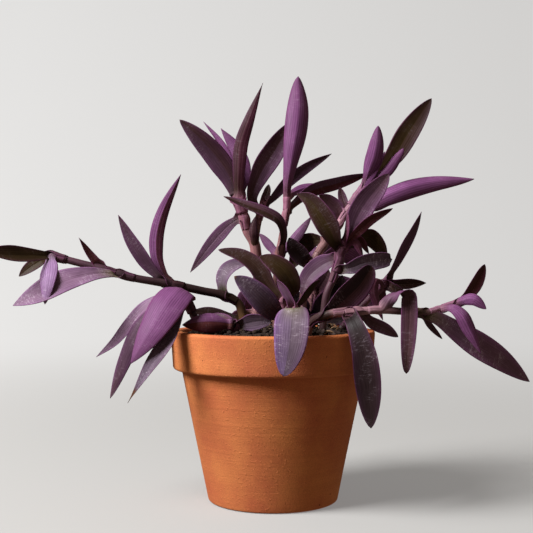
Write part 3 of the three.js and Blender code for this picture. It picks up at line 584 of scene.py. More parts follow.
backMiddleStem = {
    "node": "stem_back_middle", "root": (26, 40), "bark": "rusty",
    "routes": [
        route((3, 2.4), (27, 44, 132), (30, 50, 150), (34, 54, 168), (37, 56, 181)),
    ],
    "leaves": [
        leaf("dark", 18, 190, (37, 56, 180), (41, 66, 191), (46, 78, 192), (51, 88, 180), foot=0.4,
            widest=0.5),
        leaf("violet", 17, 200, (36, 55, 176), (47, 64, 184), (60, 74, 180), (70, 82, 166), foot=0.4,
            widest=0.5),
        leaf("dark", 15, 165, (36, 55, 174), (28, 62, 184), (21, 72, 188), (16, 82, 184), foot=0.4,
            widest=0.5),
        leaf("dark", 18, 185, (31, 51, 154), (40, 62, 154), (50, 76, 142), (54, 84, 122), (55, 86, 98),
            foot=0.4, widest=0.5),
        leaf("brown", 16, 175, (30, 48, 146), (26, 62, 150), (23, 76, 142), (22, 86, 120), foot=0.4,
            widest=0.5),
        leaf("dark", 16, 190, (33, 53, 164), (46, 58, 162), (62, 64, 154), (76, 68, 140), foot=0.4,
            widest=0.5),
        # two broad near-black leaves low behind the stems: painted shade, standing in for the shaded
        # leaves there
        leaf("black", 24, 0, (27, 44, 135), (34, 40, 137), (43, 34, 146), (50, 28, 157), (52, 25, 167),
            foot=0.35, widest=0.4),
        leaf("black", 22, 0, (27, 45, 134), (21, 39, 138), (14, 34, 149), (8, 30, 160), foot=0.35,
            widest=0.4),
        leaf("dark", 11, 0, (31, 51, 154), (35, 46, 158), (39, 42, 164), (42, 40, 171)),
    ],
}
stems = [
    longLeftStem, shortLeftStem, rimLeftStem, tallLeftStem, lowMiddleStem, frontStem, tallMiddleStem,
    tallRightStem, innerRightStem, backRightStem, longRightStem, backLeftStem, backMiddleStem,
]

# the camera's place, on the side of the photograph
viewpoint = Vector((-4.8, -730, 173.4))

stemShape = {
    "rootDepth": 16,
    "sides": 16,
    "step": 1.6,
    "nodeSwell": 0.1,  # share by which a stem is thicker where a leaf clasps it
    "nodeLength": 5,
    "scarLength": 1.3,  # a dark ring round each node
    "scarDark": 0.15,
    "lumps": 0.04,
    "patchy": 0.3,  # how much its colour varies
    "endRound": 1.5,
}

bladeShape = {
    "across": 16,  # grid cells across a blade
    "along": 56,
    "thick": 1.1,  # at the midrib
    "marginThick": 0.3,
    "narrowest": 0.12,
    "foot": 0.42,  # width at the foot, as a share of the widest
    "widest": 0.5,  # where the blade is widest, as a share of its length
    "tip": 0.75,  # 0.5 is a round tip, 1 a plain point, and more a drawn-out one
    "fold": 16,  # degrees that each half rises from flat
    "arch": 1.9,  # how far a half curves along its width, for each degree of fold
    "crease": 0.15,  # share of a sharp fold in that curve
    "sheath": 9,  # how far a leaf's foot wraps its stem
    "sheathWraps": 0.97,  # share of the way round
    "sheathOpens": 9,  # and the length over which it then opens into the blade
    "sheathGap": 0.08,
    "sheathStep": 0.28,  # how far the sheaths of neighbouring leaves lie over one another
    "lapped": 3,  # at most so many deep
    "groove": 0.35,  # depth of the midrib's groove
    "grooveWide": 0.1,
    "ripple": 0.4,
    "ripples": (2.2, 3.6),  # how many there are along a blade
    "shade": (0.9, 1.1),  # how much darker or paler than its look a blade may be
    "marginTint": 0.85,
    "footEnd": 0.3,  # share of its length over which the colour of its foot fades
    "flipBy": 0.35,  # share of its length over which a leaf that flips turns over
}

# a leaf's colours at its foot, along its middle, at its tip and towards its margins, on the upper face
# and on the underside, then how waxy and how scuffed it is, and from where on it is dry
leafLooks = {
    "dark": {
        "upper": ("#45352a", "#492e35", "#402827", "#5f3658"),
        "lower": ("#654856", "#6e4167", "#5f3954", "#5e3557"),
        "wax": 0.06, "scuffs": 0.2,
    },
    # near-black leaves: partly their own colour, partly painted shade for leaves that lie in the plant's
    # own shade
    "black": {
        "upper": ("#150e0d", "#281b1d", "#251819", "#3c2434"),
        "lower": ("#422d39", "#50314c", "#442d40", "#442c40"),
        "wax": 0.03, "scuffs": 0.4,
    },
    "dusky": {
        "upper": ("#443531", "#52374a", "#49303a", "#633d61"),
        "lower": ("#5d4253", "#694364", "#5c3b54", "#5d395a"),
        "wax": 0.06, "scuffs": 0.3,
    },
    "worn": {
        "upper": ("#51452f", "#644457", "#624253", "#814f7e"),
        "lower": ("#5d4253", "#694364", "#5c3b54", "#5d395a"),
        "wax": 0.1, "scuffs": 0.9,
    },
    "wine": {
        "upper": ("#472b23", "#4b2426", "#3e1d1f", "#5a2a40"),
        "lower": ("#5d393f", "#5e3244", "#4f2839", "#5b2a4a"),
        "wax": 0.02, "scuffs": 0.12,
    },
    "olive": {
        "upper": ("#332b15", "#332510", "#301e14", "#41232c"),
        "lower": ("#423429", "#42272c", "#382026", "#412237"),
        "wax": 0.02, "scuffs": 0.1,
    },
    "brown": {
        "upper": ("#332717", "#301e16", "#2b1915", "#3e232e"),
        "lower": ("#45322c", "#4a2e35", "#3e242b", "#44263a"),
        "wax": 0.02, "scuffs": 0.14,
    },
    "violet": {
        "upper": ("#553843", "#643b5f", "#56324f", "#72456d"),
        "lower": ("#5a3542", "#73436f", "#6a3d64", "#65365f"),
        "wax": 0.05, "scuffs": 0.2,
    },
    "pale": {
        "upper": ("#6e6640", "#7b5b76", "#70516b", "#7c587e"),
        "lower": ("#705c68", "#8b6b92", "#7f5e84", "#754e7a"),
        "wax": 0.22, "scuffs": 0.7,
    },
    "ashen": {
        "upper": ("#5b5a38", "#5c4c59", "#50404f", "#5f4062"),
        "lower": ("#625f41", "#6a5c65", "#5c4d58", "#624a65"),
        "wax": 0.15, "scuffs": 0.7,
    },
    "greyDry": {
        "upper": ("#453e33", "#554253", "#4e3f50", "#5a4259"),
        "lower": ("#5c4c48", "#71567a", "#6a4f70", "#6a4a6c"),
        "wax": 0.2, "scuffs": 0.5, "dry": 0.87,
    },
    "darkDry": {
        "upper": ("#3b3029", "#392a34", "#33242e", "#513759"),
        "lower": ("#654856", "#6e4167", "#5f3954", "#5e3557"),
        "wax": 0.12, "scuffs": 0.4, "dry": 0.96,
    },
    "silver": {
        "upper": ("#767742", "#6e5a73", "#715a80", "#744f88"),
        "lower": ("#807a51", "#826782", "#7c627e", "#734e7a"),
        "wax": 0.2, "scuffs": 1.0,
    },
}

# a stem's colours from its root to its end
barkLooks = {
    "old": ((0, "#8a6232"), (0.12, "#7a5632"), (0.24, "#2f1d1a"), (0.5, "#332024"), (1, "#533342")),
    # rusty: paler towards the top, partly the young stem's own pink and partly a painted highlight on
    # the tall left stem's forks
    "rusty": ((0, "#5d4334"), (0.25, "#644541"), (0.6, "#855a5d"), (0.75, "#946769"), (1, "#935f77")),
    # violet: darkest at the soil, partly old stem and partly painted shade on the stem's shaded foot
    "violet": ((0, "#30211c"), (0.3, "#4e3539"), (1, "#653f52")),
    "pink": ((0, "#62463d"), (0.2, "#7c575c"), (0.6, "#a57a7b"), (1, "#946682")),
    # trailing: paler near its start, partly its own colour and partly painted light where leaves above
    # shade it
    "trailing": (
        (0, "#8a6559"), (0.16, "#8a5d5b"), (0.22, "#6a4646"), (0.25, "#3a2826"), (0.29, "#4a3432"),
        (0.31, "#8a646b"), (0.58, "#8f6a76"), (0.63, "#503438"), (0.78, "#4a3b2b"), (0.84, "#946a7d"),
        (1, "#8d5f78"),
    ),
}


def inFrame(point):
    # a point of a route or line, in the frame's metres
    across, back, up = point
    seen = Vector((across, 0, up))
    return ((seen - viewpoint) * (1 - back / viewpoint.y) + viewpoint) * mm


def smoothRoute(points, count):
    # evenly spaced points on a smooth curve through the given ones
    ends = [points[0] * 2 - points[1]] + points + [points[-1] * 2 - points[-2]]
    fine = []
    for before, a, b, after in zip(ends, ends[1:], ends[2:], ends[3:]):
        gaps = [math.sqrt(max((q - p).length, 1e-7)) for p, q in ((before, a), (a, b), (b, after))]
        leave = (a - before) / gaps[0] - (b - before) / (gaps[0] + gaps[1]) + (b - a) / gaps[1]
        arrive = (b - a) / gaps[1] - (after - a) / (gaps[1] + gaps[2]) + (after - b) / gaps[2]
        handles = a + leave * gaps[1] / 3, b - arrive * gaps[1] / 3
        fine += geometry.interpolate_bezier(a, *handles, b, 25)[:-1]
    fine.append(points[-1])
    lengths = [0]
    for a, b in zip(fine, fine[1:]):
        lengths.append(lengths[-1] + (b - a).length)
    spaced = []
    at = 0
    for i in range(count + 1):
        goal = lengths[-1] * i / count
        while at < len(fine) - 2 and lengths[at + 1] < goal:
            at += 1
        share = (goal - lengths[at]) / max(lengths[at + 1] - lengths[at], 1e-9)
        spaced.append(fine[at].lerp(fine[at + 1], min(1, share)))
    return spaced


def tangentsOf(points):
    last = len(points) - 1
    return [(points[min(i + 1, last)] - points[max(i - 1, 0)]).normalized() for i in range(last + 1)]


def carriedSides(tangents, start, side):
    # the side direction at every point, carried both ways from the start without spin
    sides = [None] * len(tangents)
    sides[start] = (side - tangents[start] * side.dot(tangents[start])).normalized()
    for order in (range(start + 1, len(tangents)), range(start - 1, -1, -1)):
        last = sides[start]
        for i in order:
            last = (last - tangents[i] * last.dot(tangents[i])).normalized()
            sides[i] = last
    return sides


def shapedSlab(bm, across, along, solid):
    # a flat grid, or a slab of it, from -1 to 1 both ways, whose corners are then moved to their places
    made = bmesh.ops.create_grid(bm, x_segments=across, y_segments=along, size=1)["verts"]
    faces = list({face for vert in made for face in vert.link_faces})
    if solid:
        grown = bmesh.ops.solidify(bm, geom=faces, thickness=1)["geom"]
        faces += [part for part in grown if isinstance(part, bmesh.types.BMFace)]
        faces = list({face for f in faces for vert in f.verts for face in vert.link_faces})
    verts = list({vert for face in faces for vert in face.verts})
    return verts, faces


def barkAt(bark, share):
    stops = [(at, Vector(hexColor(text))) for at, text in barkLooks[bark]]
    for (low, a), (high, b) in zip(stops, stops[1:]):
        if share <= high:
            return a.lerp(b, (share - low) / (high - low))
    return stops[-1][1]


def addTube(bm, layers, stem, way, points, clasps):
    # a stem: the grid is rolled round the route and closed along its seam and at its ends
    tangents = tangentsOf(points)
    sides = carriedSides(tangents, 0, Vector((1, 0, 0.01)))
    last = len(points) - 1
    length = last * (points[1] - points[0]).length
    barks = [barkAt(stem["bark"], i / last) for i in range(last + 1)]
    first, end = way["thick"]
    verts, faces = shapedSlab(bm, stemShape["sides"], last, False)
    for face in faces:
        face.material_index = 0
        for loop in face.loops:
            x, y, _ = loop.vert.co
            loop[layers["uv"]].uv = (x * math.pi * first / 10, (y + 1) * length / mm / 20)
    for vert in verts:
        angle, share = math.pi * (vert.co.x + 1), (vert.co.y + 1) / 2
        i = round(share * last)
        nearest = min([abs(clasp - share) * length for clasp in clasps] + [length]) / mm
        radius = mix(first, end, share) * mm
        radius *= 1 + stemShape["nodeSwell"] * math.exp(-((nearest / stemShape["nodeLength"]) ** 2))
        lump = noise.noise(points[i] * 90 + Vector((math.cos(angle), math.sin(angle), 0)))
        radius *= 1 + stemShape["lumps"] * lump
        fromEnd = min(share, 1 - share) * length
        radius *= math.sqrt(min(1, fromEnd / (stemShape["endRound"] * mm)))
        scar = stemShape["scarDark"] * math.exp(-((nearest / stemShape["scarLength"]) ** 2))
        patch = 1 + stemShape["patchy"] * noise.noise(points[i] * 60 + Vector((0, 0, 5)))
        vert[layers["tint"]] = barks[i] * patch * (1 - scar)
        vert[layers["wear"]] = (0.1, 0.2, 0, 1)
        up = sides[i].cross(tangents[i])
        vert.co = points[i] + (sides[i] * math.cos(angle) + up * math.sin(angle)) * radius
    bmesh.ops.remove_doubles(bm, verts=verts, dist=1e-7)


def bladeHalf(share, blade):
    foot, widest, tip = (blade.get(name, bladeShape[name]) for name in ("foot", "widest", "tip"))
    if share < widest:
        return blade["wide"] / 2 * mix(foot, 1, smooth(share, 0, widest))
    return blade["wide"] / 2 * max(0, 1 - ((share - widest) / (1 - widest)) ** 2) ** tip


def bladeTint(look, face, x, share, footEnd):
    foot, middle, tip, margin = [Vector(hexColor(text)) for text in look[face]]
    tint = foot.lerp(middle, smooth(share, 0.02, footEnd)).lerp(tip, smooth(share, 0.6, 1))
    return tint.lerp(margin, bladeShape["marginTint"] * abs(x) ** 3 * smooth(share, 0, 0.3))


def addBlade(bm, layers, blade, bark, stemPoints, foot, stemThick, under, number):
    # a leaf: its foot is rolled round the stem as a sheath, and opens into a channelled blade
    gap = (stemPoints[1] - stemPoints[0]).length
    back = min(foot, max(1, round(bladeShape["sheath"] * mm / gap)))
    sheathWay = [stemPoints[foot - back], stemPoints[foot - back // 2], stemPoints[foot]]
    if back < 2:
        sheathWay = [stemPoints[foot]]
    way = sheathWay + [inFrame(point) for point in blade["line"][1:]]
    count = bladeShape["along"]
    points = smoothRoute(way, count)
    tangents = tangentsOf(points)
    length = (points[1] - points[0]).length * count
    sheath = back * gap if back >= 2 else 0
    bladeLength = length - sheath
    middle = round(count * (sheath + bladeLength / 2) / length)
    side = tangents[middle].cross(Vector((0, -1, 0)))
    sides = carriedSides(tangents, middle, side)
    draw = random.Random(number)
    # two of the four phases are used, and the others keep the draws after them as they were
    phases = [draw.uniform(0, math.tau) for _ in range(4)]
    waves = draw.uniform(*bladeShape["ripples"])
    shade = draw.uniform(*bladeShape["shade"])
    seed = draw.random()
    fold = math.radians(blade.get("fold", bladeShape["fold"]))
    # the second half's look is partly the blade's own colour and partly painted light and shade across
    # the fold
    halves = [leafLooks[blade["look"]], leafLooks[blade.get("other", blade["look"])]]
    barkTint = barkAt(bark, foot / (len(stemPoints) - 1))
    verts, faces = shapedSlab(bm, bladeShape["across"], count, True)
    heights = [vert.co.z for vert in verts]
    low, high = min(heights), max(heights)
    for face in faces:
        flat = all(abs(vert.co.z - high) < 0.01 for vert in face.verts)
        face.material_index = 1 if flat else 2
        for loop in face.loops:
            x, y, _ = loop.vert.co
            loop[layers["uv"]].uv = (x * blade["wide"] / 20, (y + 1) * length / mm / 20)
    for vert in verts:
        x, y, z = vert.co
        along = (y + 1) / 2
        i = round(along * count)
        travelled = along * length
        share = max(0, travelled - sheath) / bladeLength
        opened = smooth(travelled, sheath * 0.7, sheath + bladeShape["sheathOpens"] * mm)
        # the sheath starts flush with the stem and stands clear of the node
        lapped = stemThick + bladeShape["sheathStep"] * under
        clear = lapped + stemThick * stemShape["nodeSwell"] + bladeShape["sheathGap"]
        wrap = mix(lapped, clear, smooth(travelled, 0, max(sheath, mm)))
        half = max(mix(math.pi * wrap, bladeHalf(share, blade), opened), bladeShape["narrowest"]) * mm
        bend = mix(math.pi * bladeShape["sheathWraps"], fold * bladeShape["arch"], opened) or 1e-4
        radius = half / bend
        angle = bend * x
        normal = sides[i].cross(tangents[i])
        turn = blade["turn"] + blade.get("flip", 0) * (1 - smooth(share, 0, bladeShape["flipBy"]))
        normal = Matrix.Rotation(math.radians(turn), 3, tangents[i]) @ normal
        across = tangents[i].cross(normal)
        rolled = (radius * math.sin(angle), radius * (1 - math.cos(angle)))
        vee = (half * x * math.cos(fold), half * abs(x) * math.sin(fold))
        sharp = bladeShape["crease"] * opened
        sideways, lift = (mix(r, v, sharp) for r, v in zip(rolled, vee))
        lift -= radius * (1 - opened)
        groove = math.exp(-((x / bladeShape["grooveWide"]) ** 2)) * opened * (1 - share**4)
        lift -= bladeShape["groove"] * mm * groove
        ripple = math.sin(waves * math.tau * along + phases[0] + (phases[1] if x > 0 else 0))
        ripple *= abs(x) ** 2 * opened * (1 - share) * blade["wide"] / 20
        lift += bladeShape["ripple"] * mm * ripple
        slant = angle if opened < 1 else angle * 0.8
        outward = normal * math.cos(slant) - across * math.sin(slant)
        plump = (1 - x * x) * opened * (1 - share**3)
        body = mix(bladeShape["marginThick"], bladeShape["thick"], plump)
        level = (z - low) / (high - low) - 0.5
        look = halves[x > 0]
        face = "upper" if level > 0 else "lower"
        tint = bladeTint(look, face, x, share, blade.get("footEnd", bladeShape["footEnd"])) * shade
        vert[layers["tint"]] = tint.lerp(barkTint, 0.9 * (1 - opened))
        dry = smooth(share, look.get("dry", 2), look.get("dry", 2) + 0.03)
        vert[layers["wear"]] = (look["wax"] * opened, look["scuffs"] * opened, dry, 1)
        vert[layers["blade"]] = (x / 2 + 0.5, share, 1 - opened, seed)
        vert.co = points[i] + across * sideways + normal * lift + outward * body * mm * level
        if blade.get("torn"):
            rag = noise.noise(Vector((x * 3.1, 0, number)))
            rag += 0.5 * noise.noise(Vector((x * 9, 3, number)))
            vert.co += tangents[i] * rag * blade["torn"] * mm * smooth(share, 0.8, 1)


def growStem(stem, number):
    bm = bmesh.new()
    layers = {name: bm.verts.layers.float_color.new(name) for name in ("blade", "tint", "wear")}
    layers["uv"] = bm.loops.layers.uv.new("veins")
    x, y = stem["root"]
    roots = [Vector((x, y, z)) * mm for z in (soil["edge"] - stemShape["rootDepth"], soil["edge"] + 1)]
    tubes = []
    for i, way in enumerate(stem["routes"]):
        points = (roots if i == 0 else []) + [inFrame(point) for point in way["points"]]
        length = sum((b - a).length for a, b in zip(points, points[1:]))
        tubes.append(smoothRoute(points, max(6, round(length / (stemShape["step"] * mm)))))
    clasps = [[] for _ in tubes]
    for i, blade in enumerate(stem["leaves"]):
        foot = inFrame(blade["line"][0])
        _, tube, at = min(
            ((point - foot).length, t, step)
            for t, points in enumerate(tubes)
            for step, point in enumerate(points)
        )
        steps = len(tubes[tube]) - 1
        reach = steps * (tubes[tube][1] - tubes[tube][0]).length / mm
        under = sum(abs(held - at / steps) * reach < bladeShape["sheath"] for held in clasps[tube])
        under = min(under, bladeShape["lapped"])
        clasps[tube].append(at / steps)
        thick = mix(*stem["routes"][tube]["thick"], at / steps)
        addBlade(bm, layers, blade, stem["bark"], tubes[tube], at, thick, under, number * 100 + i)
    for way, points, held in zip(stem["routes"], tubes, clasps):
        addTube(bm, layers, stem, way, points, held)
    bmesh.ops.recalc_face_normals(bm, faces=bm.faces)
    words = stem["node"].split("_")[1:]
    name = "leafyStem" + "".join(word.capitalize() for word in words)
    finishPiece(bm, name, leafMaterials, [stem["node"]])


def readParts(tree, name):
    # a colour attribute's four numbers
    color = addNode(tree, "Attribute", out="Color", attribute_name=name)
    parts = addNode(tree, "SeparateColor", [color])
    return [*parts.node.outputs, color.node.outputs["Alpha"]]


def addSkinPattern(tree, place, veinSpacing):
    # lines along a blade or stem, a unit of whose map is 10 mm. A wave's scale of 1 is about 3.18 bands
    uv = addNode(tree, "UVMap", uv_map="veins")
    waves = {"Scale": 10 / veinSpacing / 3.18, "Distortion": 1.2, "Detail": 2, "Detail Scale": 0.6}
    bands = addNode(tree, "TexWave", {"Vector": uv, **waves}, "Fac")
    long = addNode(tree, "Mapping", {"Vector": uv, "Scale": (9, 0.5, 1)})
    streaks = addNode(tree, "TexNoise", {"Vector": long, "Scale": 1.6, "Detail": 4, "Roughness": 0.6})
    clouds = addNode(tree, "TexNoise", {"Vector": place, "Scale": 60, "Detail": 4, "Roughness": 0.6})
    return uv, bands, streaks, clouds


def makeLeafFace(name, finish):
    # a fleshy leaf with a waxy skin: satin, with fine parallel veins and a paler bloom on old blades
    material, tree = startMaterial(name)
    acrossPart, _, _, seed = readParts(tree, "blade")
    waxPart, scuffPart, dryPart, _ = readParts(tree, "wear")
    # each blade starts the patterns somewhere else
    shift = addNode(tree, "Math", (seed, 37), operation="MULTIPLY")
    place = addNode(tree, "TexCoord", out="Object")
    moved = addNode(tree, "VectorMath", (place, shift))
    uv, bands, streaks, clouds = addSkinPattern(tree, moved, finish["veins"])
    shade = addNode(tree, "Attribute", out="Color", attribute_name="tint")
    patterns = (
        (bands, 0, 0.6, finish["veinLow"], 1.04), (streaks, 0.3, 0.7, 0.8, 1.2),
        (clouds, 0.3, 0.7, 0.85, 1.15),
    )
    shade = varyColor(tree, shade, patterns)
    # wax lies in streaks
    waxStreak = addNode(tree, "MapRange", (streaks, 0.35, 0.65, 0.05, 0.55))
    waxShare = addNode(tree, "Math", (waxPart, waxStreak), operation="MULTIPLY")
    # the margin is a thin magenta line
    offMiddle = addNode(tree, "Math", (acrossPart, 0.5), operation="SUBTRACT")
    outness = addNode(tree, "Math", [offMiddle], operation="ABSOLUTE")
    margin = addNode(tree, "MapRange", (outness, 0.455, 0.49, 0, 0.5))
    # scuffs: small pale marks along the blade, and smears across it, in patches
    marks = []
    for scale, low, high in (((7, 2.2, 1), 0.6, 0.7), ((1.1, 4.2, 1), 0.52, 0.64)):
        stretched = addNode(tree, "Mapping", {"Vector": uv, "Scale": scale})
        shifted = addNode(tree, "VectorMath", (stretched, shift))
        fractal = {"Vector": shifted, "Scale": 2.2, "Detail": 5, "Roughness": 0.75}
        grain = addNode(tree, "TexNoise", fractal)
        marks.append(addNode(tree, "MapRange", (grain, low, high)))
    scuff = addNode(tree, "Math", marks, operation="MAXIMUM")
    patch = addNode(tree, "MapRange", (clouds, 0.46, 0.62, 0, 0.75))
    scuffed = addNode(tree, "Math", (scuff, scuffPart), operation="MULTIPLY")
    scuffShare = addNode(tree, "Math", (scuffed, patch), operation="MULTIPLY")
    for share, color in (
        (waxShare, "#99899a"), (margin, "#703b62"), (scuffShare, "#c0b1bf"), (dryPart, "#523222"),
    ):
        shade = addNode(tree, "Mix", {0: share, 6: shade, 7: hexColor(color)}, 2, data_type="RGBA")
    height = addNode(tree, "Math", (bands, streaks))
    bump = addNode(tree, "Bump", {"Height": height, "Strength": 0.5, "Distance": 0.08 * mm})
    rough = addNode(tree, "MapRange", (clouds, 0.3, 0.7, finish["rough"] - 0.06, finish["rough"] + 0.1))
    satin = {
        "Base Color": shade, "Normal": bump, "Roughness": rough, "IOR": 1.42, "Specular IOR Level": 0.12,
    }
    shader = addNode(tree, "BsdfPrincipled", satin)
    addNode(tree, "OutputMaterial", [shader])
    return material


def makeStemSkin():
    # a juicy stem: pink where it is young, purple-brown where it is old, and tan at the soil
    material, tree = startMaterial("fleshyStem")
    shade = addNode(tree, "Attribute", out="Color", attribute_name="tint")
    place = addNode(tree, "TexCoord", out="Object")
    _, bands, streaks, clouds = addSkinPattern(tree, place, 1.5)
    patterns = (
        (bands, 0.3, 0.7, 0.9, 1.04), (streaks, 0.3, 0.7, 0.72, 1.25), (clouds, 0.3, 0.7, 0.8, 1.2),
    )
    shade = varyColor(tree, shade, patterns)
    bump = addNode(tree, "Bump", {"Height": streaks, "Strength": 0.4, "Distance": 0.3 * mm})
    juicy = {
        "Base Color": shade, "Normal": bump, "Roughness": 0.48, "IOR": 1.42, "Specular IOR Level": 0.4,
    }
    shader = addNode(tree, "BsdfPrincipled", juicy)
    addNode(tree, "OutputMaterial", [shader])
    return material


# veins are drawn 1.7 mm apart, twice as coarse as real ones, so that they show
leafMaterials = [
    makeStemSkin(),
    makeLeafFace("waxyLeafUpperFace", {"veins": 1.7, "veinLow": 0.92, "rough": 0.46}),
    makeLeafFace("waxyLeafUnderside", {"veins": 1.7, "veinLow": 0.72, "rough": 0.5}),
]
for number, stem in enumerate(stems):
    growStem(stem, number)
    print("grown", stem["node"])

# root strands and dead bracts on the soil
litter = {
    "strands": 16,
    "strandThick": (0.25, 0.6),
    "strandSteps": 16,
    "strandStride": 4,
    "strandBends": 0.7,  # how far it may turn at each stride, in radians
    "strandLift": (2, 5),  # how high its middle stands out of the soil
    "scraps": 26,
    "scrapLong": (8, 17),
    "scrapWide": (4, 8),
    "scrapNarrows": 0.75,  # share of its width lost towards its tip
    "scrapThick": 0.3,
    "scrapLean": (0.1, 1.3),  # how steeply it stands, and how far it is rolled up, in radians
    "scrapCurl": (0.3, 1.4),
    "reach": (-20, 55, -42, 30),  # left, right, front and back of the littered ground
    "seed": 5,
}


def makePlainSkin(name, color, roughness):
    material, tree = startMaterial(name)
    place = addNode(tree, "TexCoord", out="Object")
    grain = addNode(tree, "TexNoise", {"Vector": place, "Scale": 260, "Detail": 4})
    shade = varyColor(tree, hexColor(color), [(grain, 0.3, 0.7, 0.55, 1.3)])
    shader = addNode(tree, "BsdfPrincipled", {"Base Color": shade, "Roughness": roughness})
    addNode(tree, "OutputMaterial", [shader])
    return material


def makeLitter():
    # pale root strands that stand out of the soil, and dead bracts round the stems' feet
    draw = random.Random(litter["seed"])
    left, right, front, back = litter["reach"]
    strands, scraps = bmesh.new(), bmesh.new()
    for _ in range(litter["strands"]):
        x, y = draw.uniform(left, right), draw.uniform(front, back)
        heading = draw.uniform(0, math.tau)
        way = []
        for lift in (-1.5, 1.5, draw.uniform(*litter["strandLift"]), 1.5, -1.5):
            way.append(Vector((x, y, soilHeight(x, y) + lift)) * mm)
            heading += draw.uniform(-litter["strandBends"], litter["strandBends"])
            x += litter["strandStride"] * math.cos(heading)
            y += litter["strandStride"] * math.sin(heading)
        points = smoothRoute(way, litter["strandSteps"])
        tangents = tangentsOf(points)
        sides = carriedSides(tangents, 0, Vector((0.3, 0.2, 1)))
        thick = draw.uniform(*litter["strandThick"])
        verts, _ = shapedSlab(strands, 6, litter["strandSteps"], False)
        for vert in verts:
            angle = math.pi * (vert.co.x + 1)
            i = round((vert.co.y + 1) / 2 * litter["strandSteps"])
            up = sides[i].cross(tangents[i])
            vert.co = points[i] + (sides[i] * math.cos(angle) + up * math.sin(angle)) * thick * mm
        bmesh.ops.remove_doubles(strands, verts=verts, dist=1e-7)
    for _ in range(litter["scraps"]):
        x, y = draw.uniform(left, right), draw.uniform(front, back)
        long, wide = draw.uniform(*litter["scrapLong"]), draw.uniform(*litter["scrapWide"])
        lean = draw.uniform(*litter["scrapLean"])
        heading = draw.uniform(0, math.tau)
        curl = draw.uniform(*litter["scrapCurl"])
        ahead = Vector((math.cos(heading), math.sin(heading), 0))
        side = Vector((-ahead.y, ahead.x, 0))
        foot = Vector((x, y, soilHeight(x, y) - 1))
        verts, _ = shapedSlab(scraps, 6, 10, True)
        for vert in verts:
            across, along, level = vert.co.x, (vert.co.y + 1) / 2, vert.co.z
            half = wide / 2 * (1 - litter["scrapNarrows"] * along**2)
            angle = across * curl
            rise = lean * (1 - 0.5 * along)
            up = long * along * math.sin(rise) + half * (1 - math.cos(angle)) / curl
            up += litter["scrapThick"] * level
            out = ahead * long * along * math.cos(rise) + side * half * math.sin(angle) / curl
            vert.co = (foot + out + Vector((0, 0, up))) * mm
    for bm in (strands, scraps):
        bmesh.ops.recalc_face_normals(bm, faces=bm.faces)
    finishPiece(strands, "rootStrands", [makePlainSkin("dryRoot", "#8a6c50", 0.75)])
    finishPiece(scraps, "deadBracts", [makePlainSkin("deadLeaf", "#33211c", 0.7)])
    print("litter made")


makeLitter()

# the floor, the light and the camera
studio = {
    "bowlRadius": 2600,
    "bowlFlat": 1400,  # radius of the flat floor
    "bowlHeight": 2400,
    "bowlTurns": 96,
    "floorDrop": 0.3,  # how far the floor lies under the pot's foot
    # the paper's glow is painted light, for the light on the floor near the pot and on the wall,
    # brighter at the left
    "floorGlow": 0.2,
    "wallGlow": (0.57, 0.45),  # at the left and at the right
    "key": {"at": (-1500, -740, 1550), "size": 1100, "power": 106},
    "world": {"color": (1, 0.8, 0.6, 1), "strength": 0.19},
    "aim": (0, 0, 140),
    "pictureWide": 399.75,  # how much of the plane through the pot's axis the picture shows
}


def makePaper():
    # matt photographic paper: pale, and evenly lit towards the back. Its glow is painted light,
    # dimmer near the pot, and brighter on the left wall, on the key light's side, than on the right
    material, tree = startMaterial("mattPaperPaintedGlow")
    place = addNode(tree, "TexCoord", out="Object")
    sideways = addNode(tree, "SeparateXYZ", [place])
    wall = addNode(tree, "MapRange", (sideways, -0.8, 0.8, *studio["wallGlow"]))
    reach = addNode(tree, "VectorMath", [place], "Value", operation="LENGTH")
    ranges = (reach, 0.2, 1.6, studio["floorGlow"], wall)
    glow = addNode(tree, "MapRange", ranges, interpolation_type="SMOOTHSTEP")
    paper = {
        "Base Color": hexColor("#959492"), "Roughness": 0.95, "Specular IOR Level": 0.1,
        "Emission Color": hexColor("#fdfeff"), "Emission Strength": glow,
    }
    shader = addNode(tree, "BsdfPrincipled", paper)
    addNode(tree, "OutputMaterial", [shader])
    return material


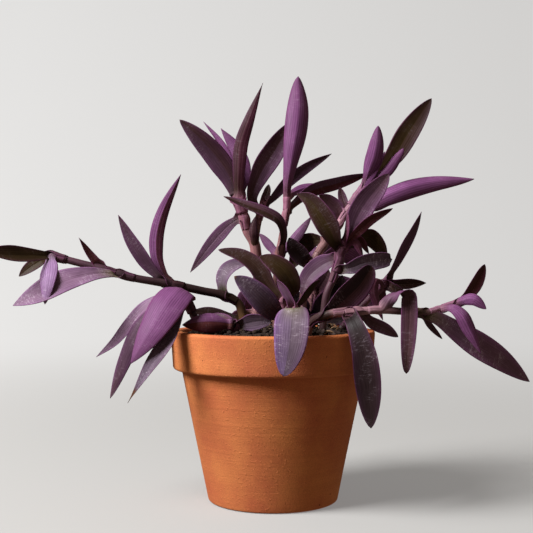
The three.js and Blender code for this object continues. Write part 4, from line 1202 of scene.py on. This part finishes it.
def makeBackdrop():
    # a bowl of paper: a flat floor that curves up into a wall all round, behind every side of the plant
    drop, flat = studio["floorDrop"], studio["bowlFlat"]
    corner = studio["bowlRadius"] - flat
    path = [(0, -drop, 0)]
    for angle in range(0, 91, 10):
        turn = math.radians(angle)
        path.append((flat + corner * math.sin(turn), corner * (1 - math.cos(turn)) - drop, 0))
    path.append((studio["bowlRadius"], studio["bowlHeight"], 0))
    bm = spinSection(path, False, studio["bowlTurns"], math.inf)
    # the bowl is seen from inside
    bmesh.ops.reverse_faces(bm, faces=bm.faces)
    backdrop = linkMesh(bm, "paleBackdrop", [makePaper()])
    backdrop.visible_diffuse = False
    backdrop.visible_glossy = False
    backdrop.visible_shadow = False


def addKeyLight():
    light = studio["key"]
    data = bpy.data.lights.new("key", "AREA")
    data.energy = light["power"]
    data.shape = "DISK"
    data.size = light["size"] * mm
    lamp = bpy.data.objects.new("key", data)
    lamp.location = Vector(light["at"]) * mm
    aim = (Vector(studio["aim"]) - Vector(light["at"])) * mm
    lamp.rotation_euler = aim.to_track_quat("-Z", "Y").to_euler()
    bpy.context.scene.collection.objects.link(lamp)


def lightSky():
    world = bpy.data.worlds.new("paleSky")
    world.use_nodes = True
    background = world.node_tree.nodes["Background"]
    background.inputs["Color"].default_value = studio["world"]["color"]
    background.inputs["Strength"].default_value = studio["world"]["strength"]
    bpy.context.scene.world = world
    bpy.context.scene.view_settings.view_transform = "Standard"


def aimCamera():
    # the photograph was taken level, from just above half the plant's height, with the pot a little
    # right of the picture's middle
    camera = bpy.data.cameras.new("camera")
    camera.sensor_width = 36
    camera.lens = camera.sensor_width * -viewpoint.y / studio["pictureWide"]
    camera.clip_start = 0.01
    camera.clip_end = 30
    holder = bpy.data.objects.new("camera", camera)
    holder.location = viewpoint * mm
    holder.rotation_euler = (math.radians(90), 0, 0)
    bpy.context.scene.collection.objects.link(holder)
    bpy.context.scene.camera = holder


makeBackdrop()
addKeyLight()
lightSky()
aimCamera()
print("studio ready")
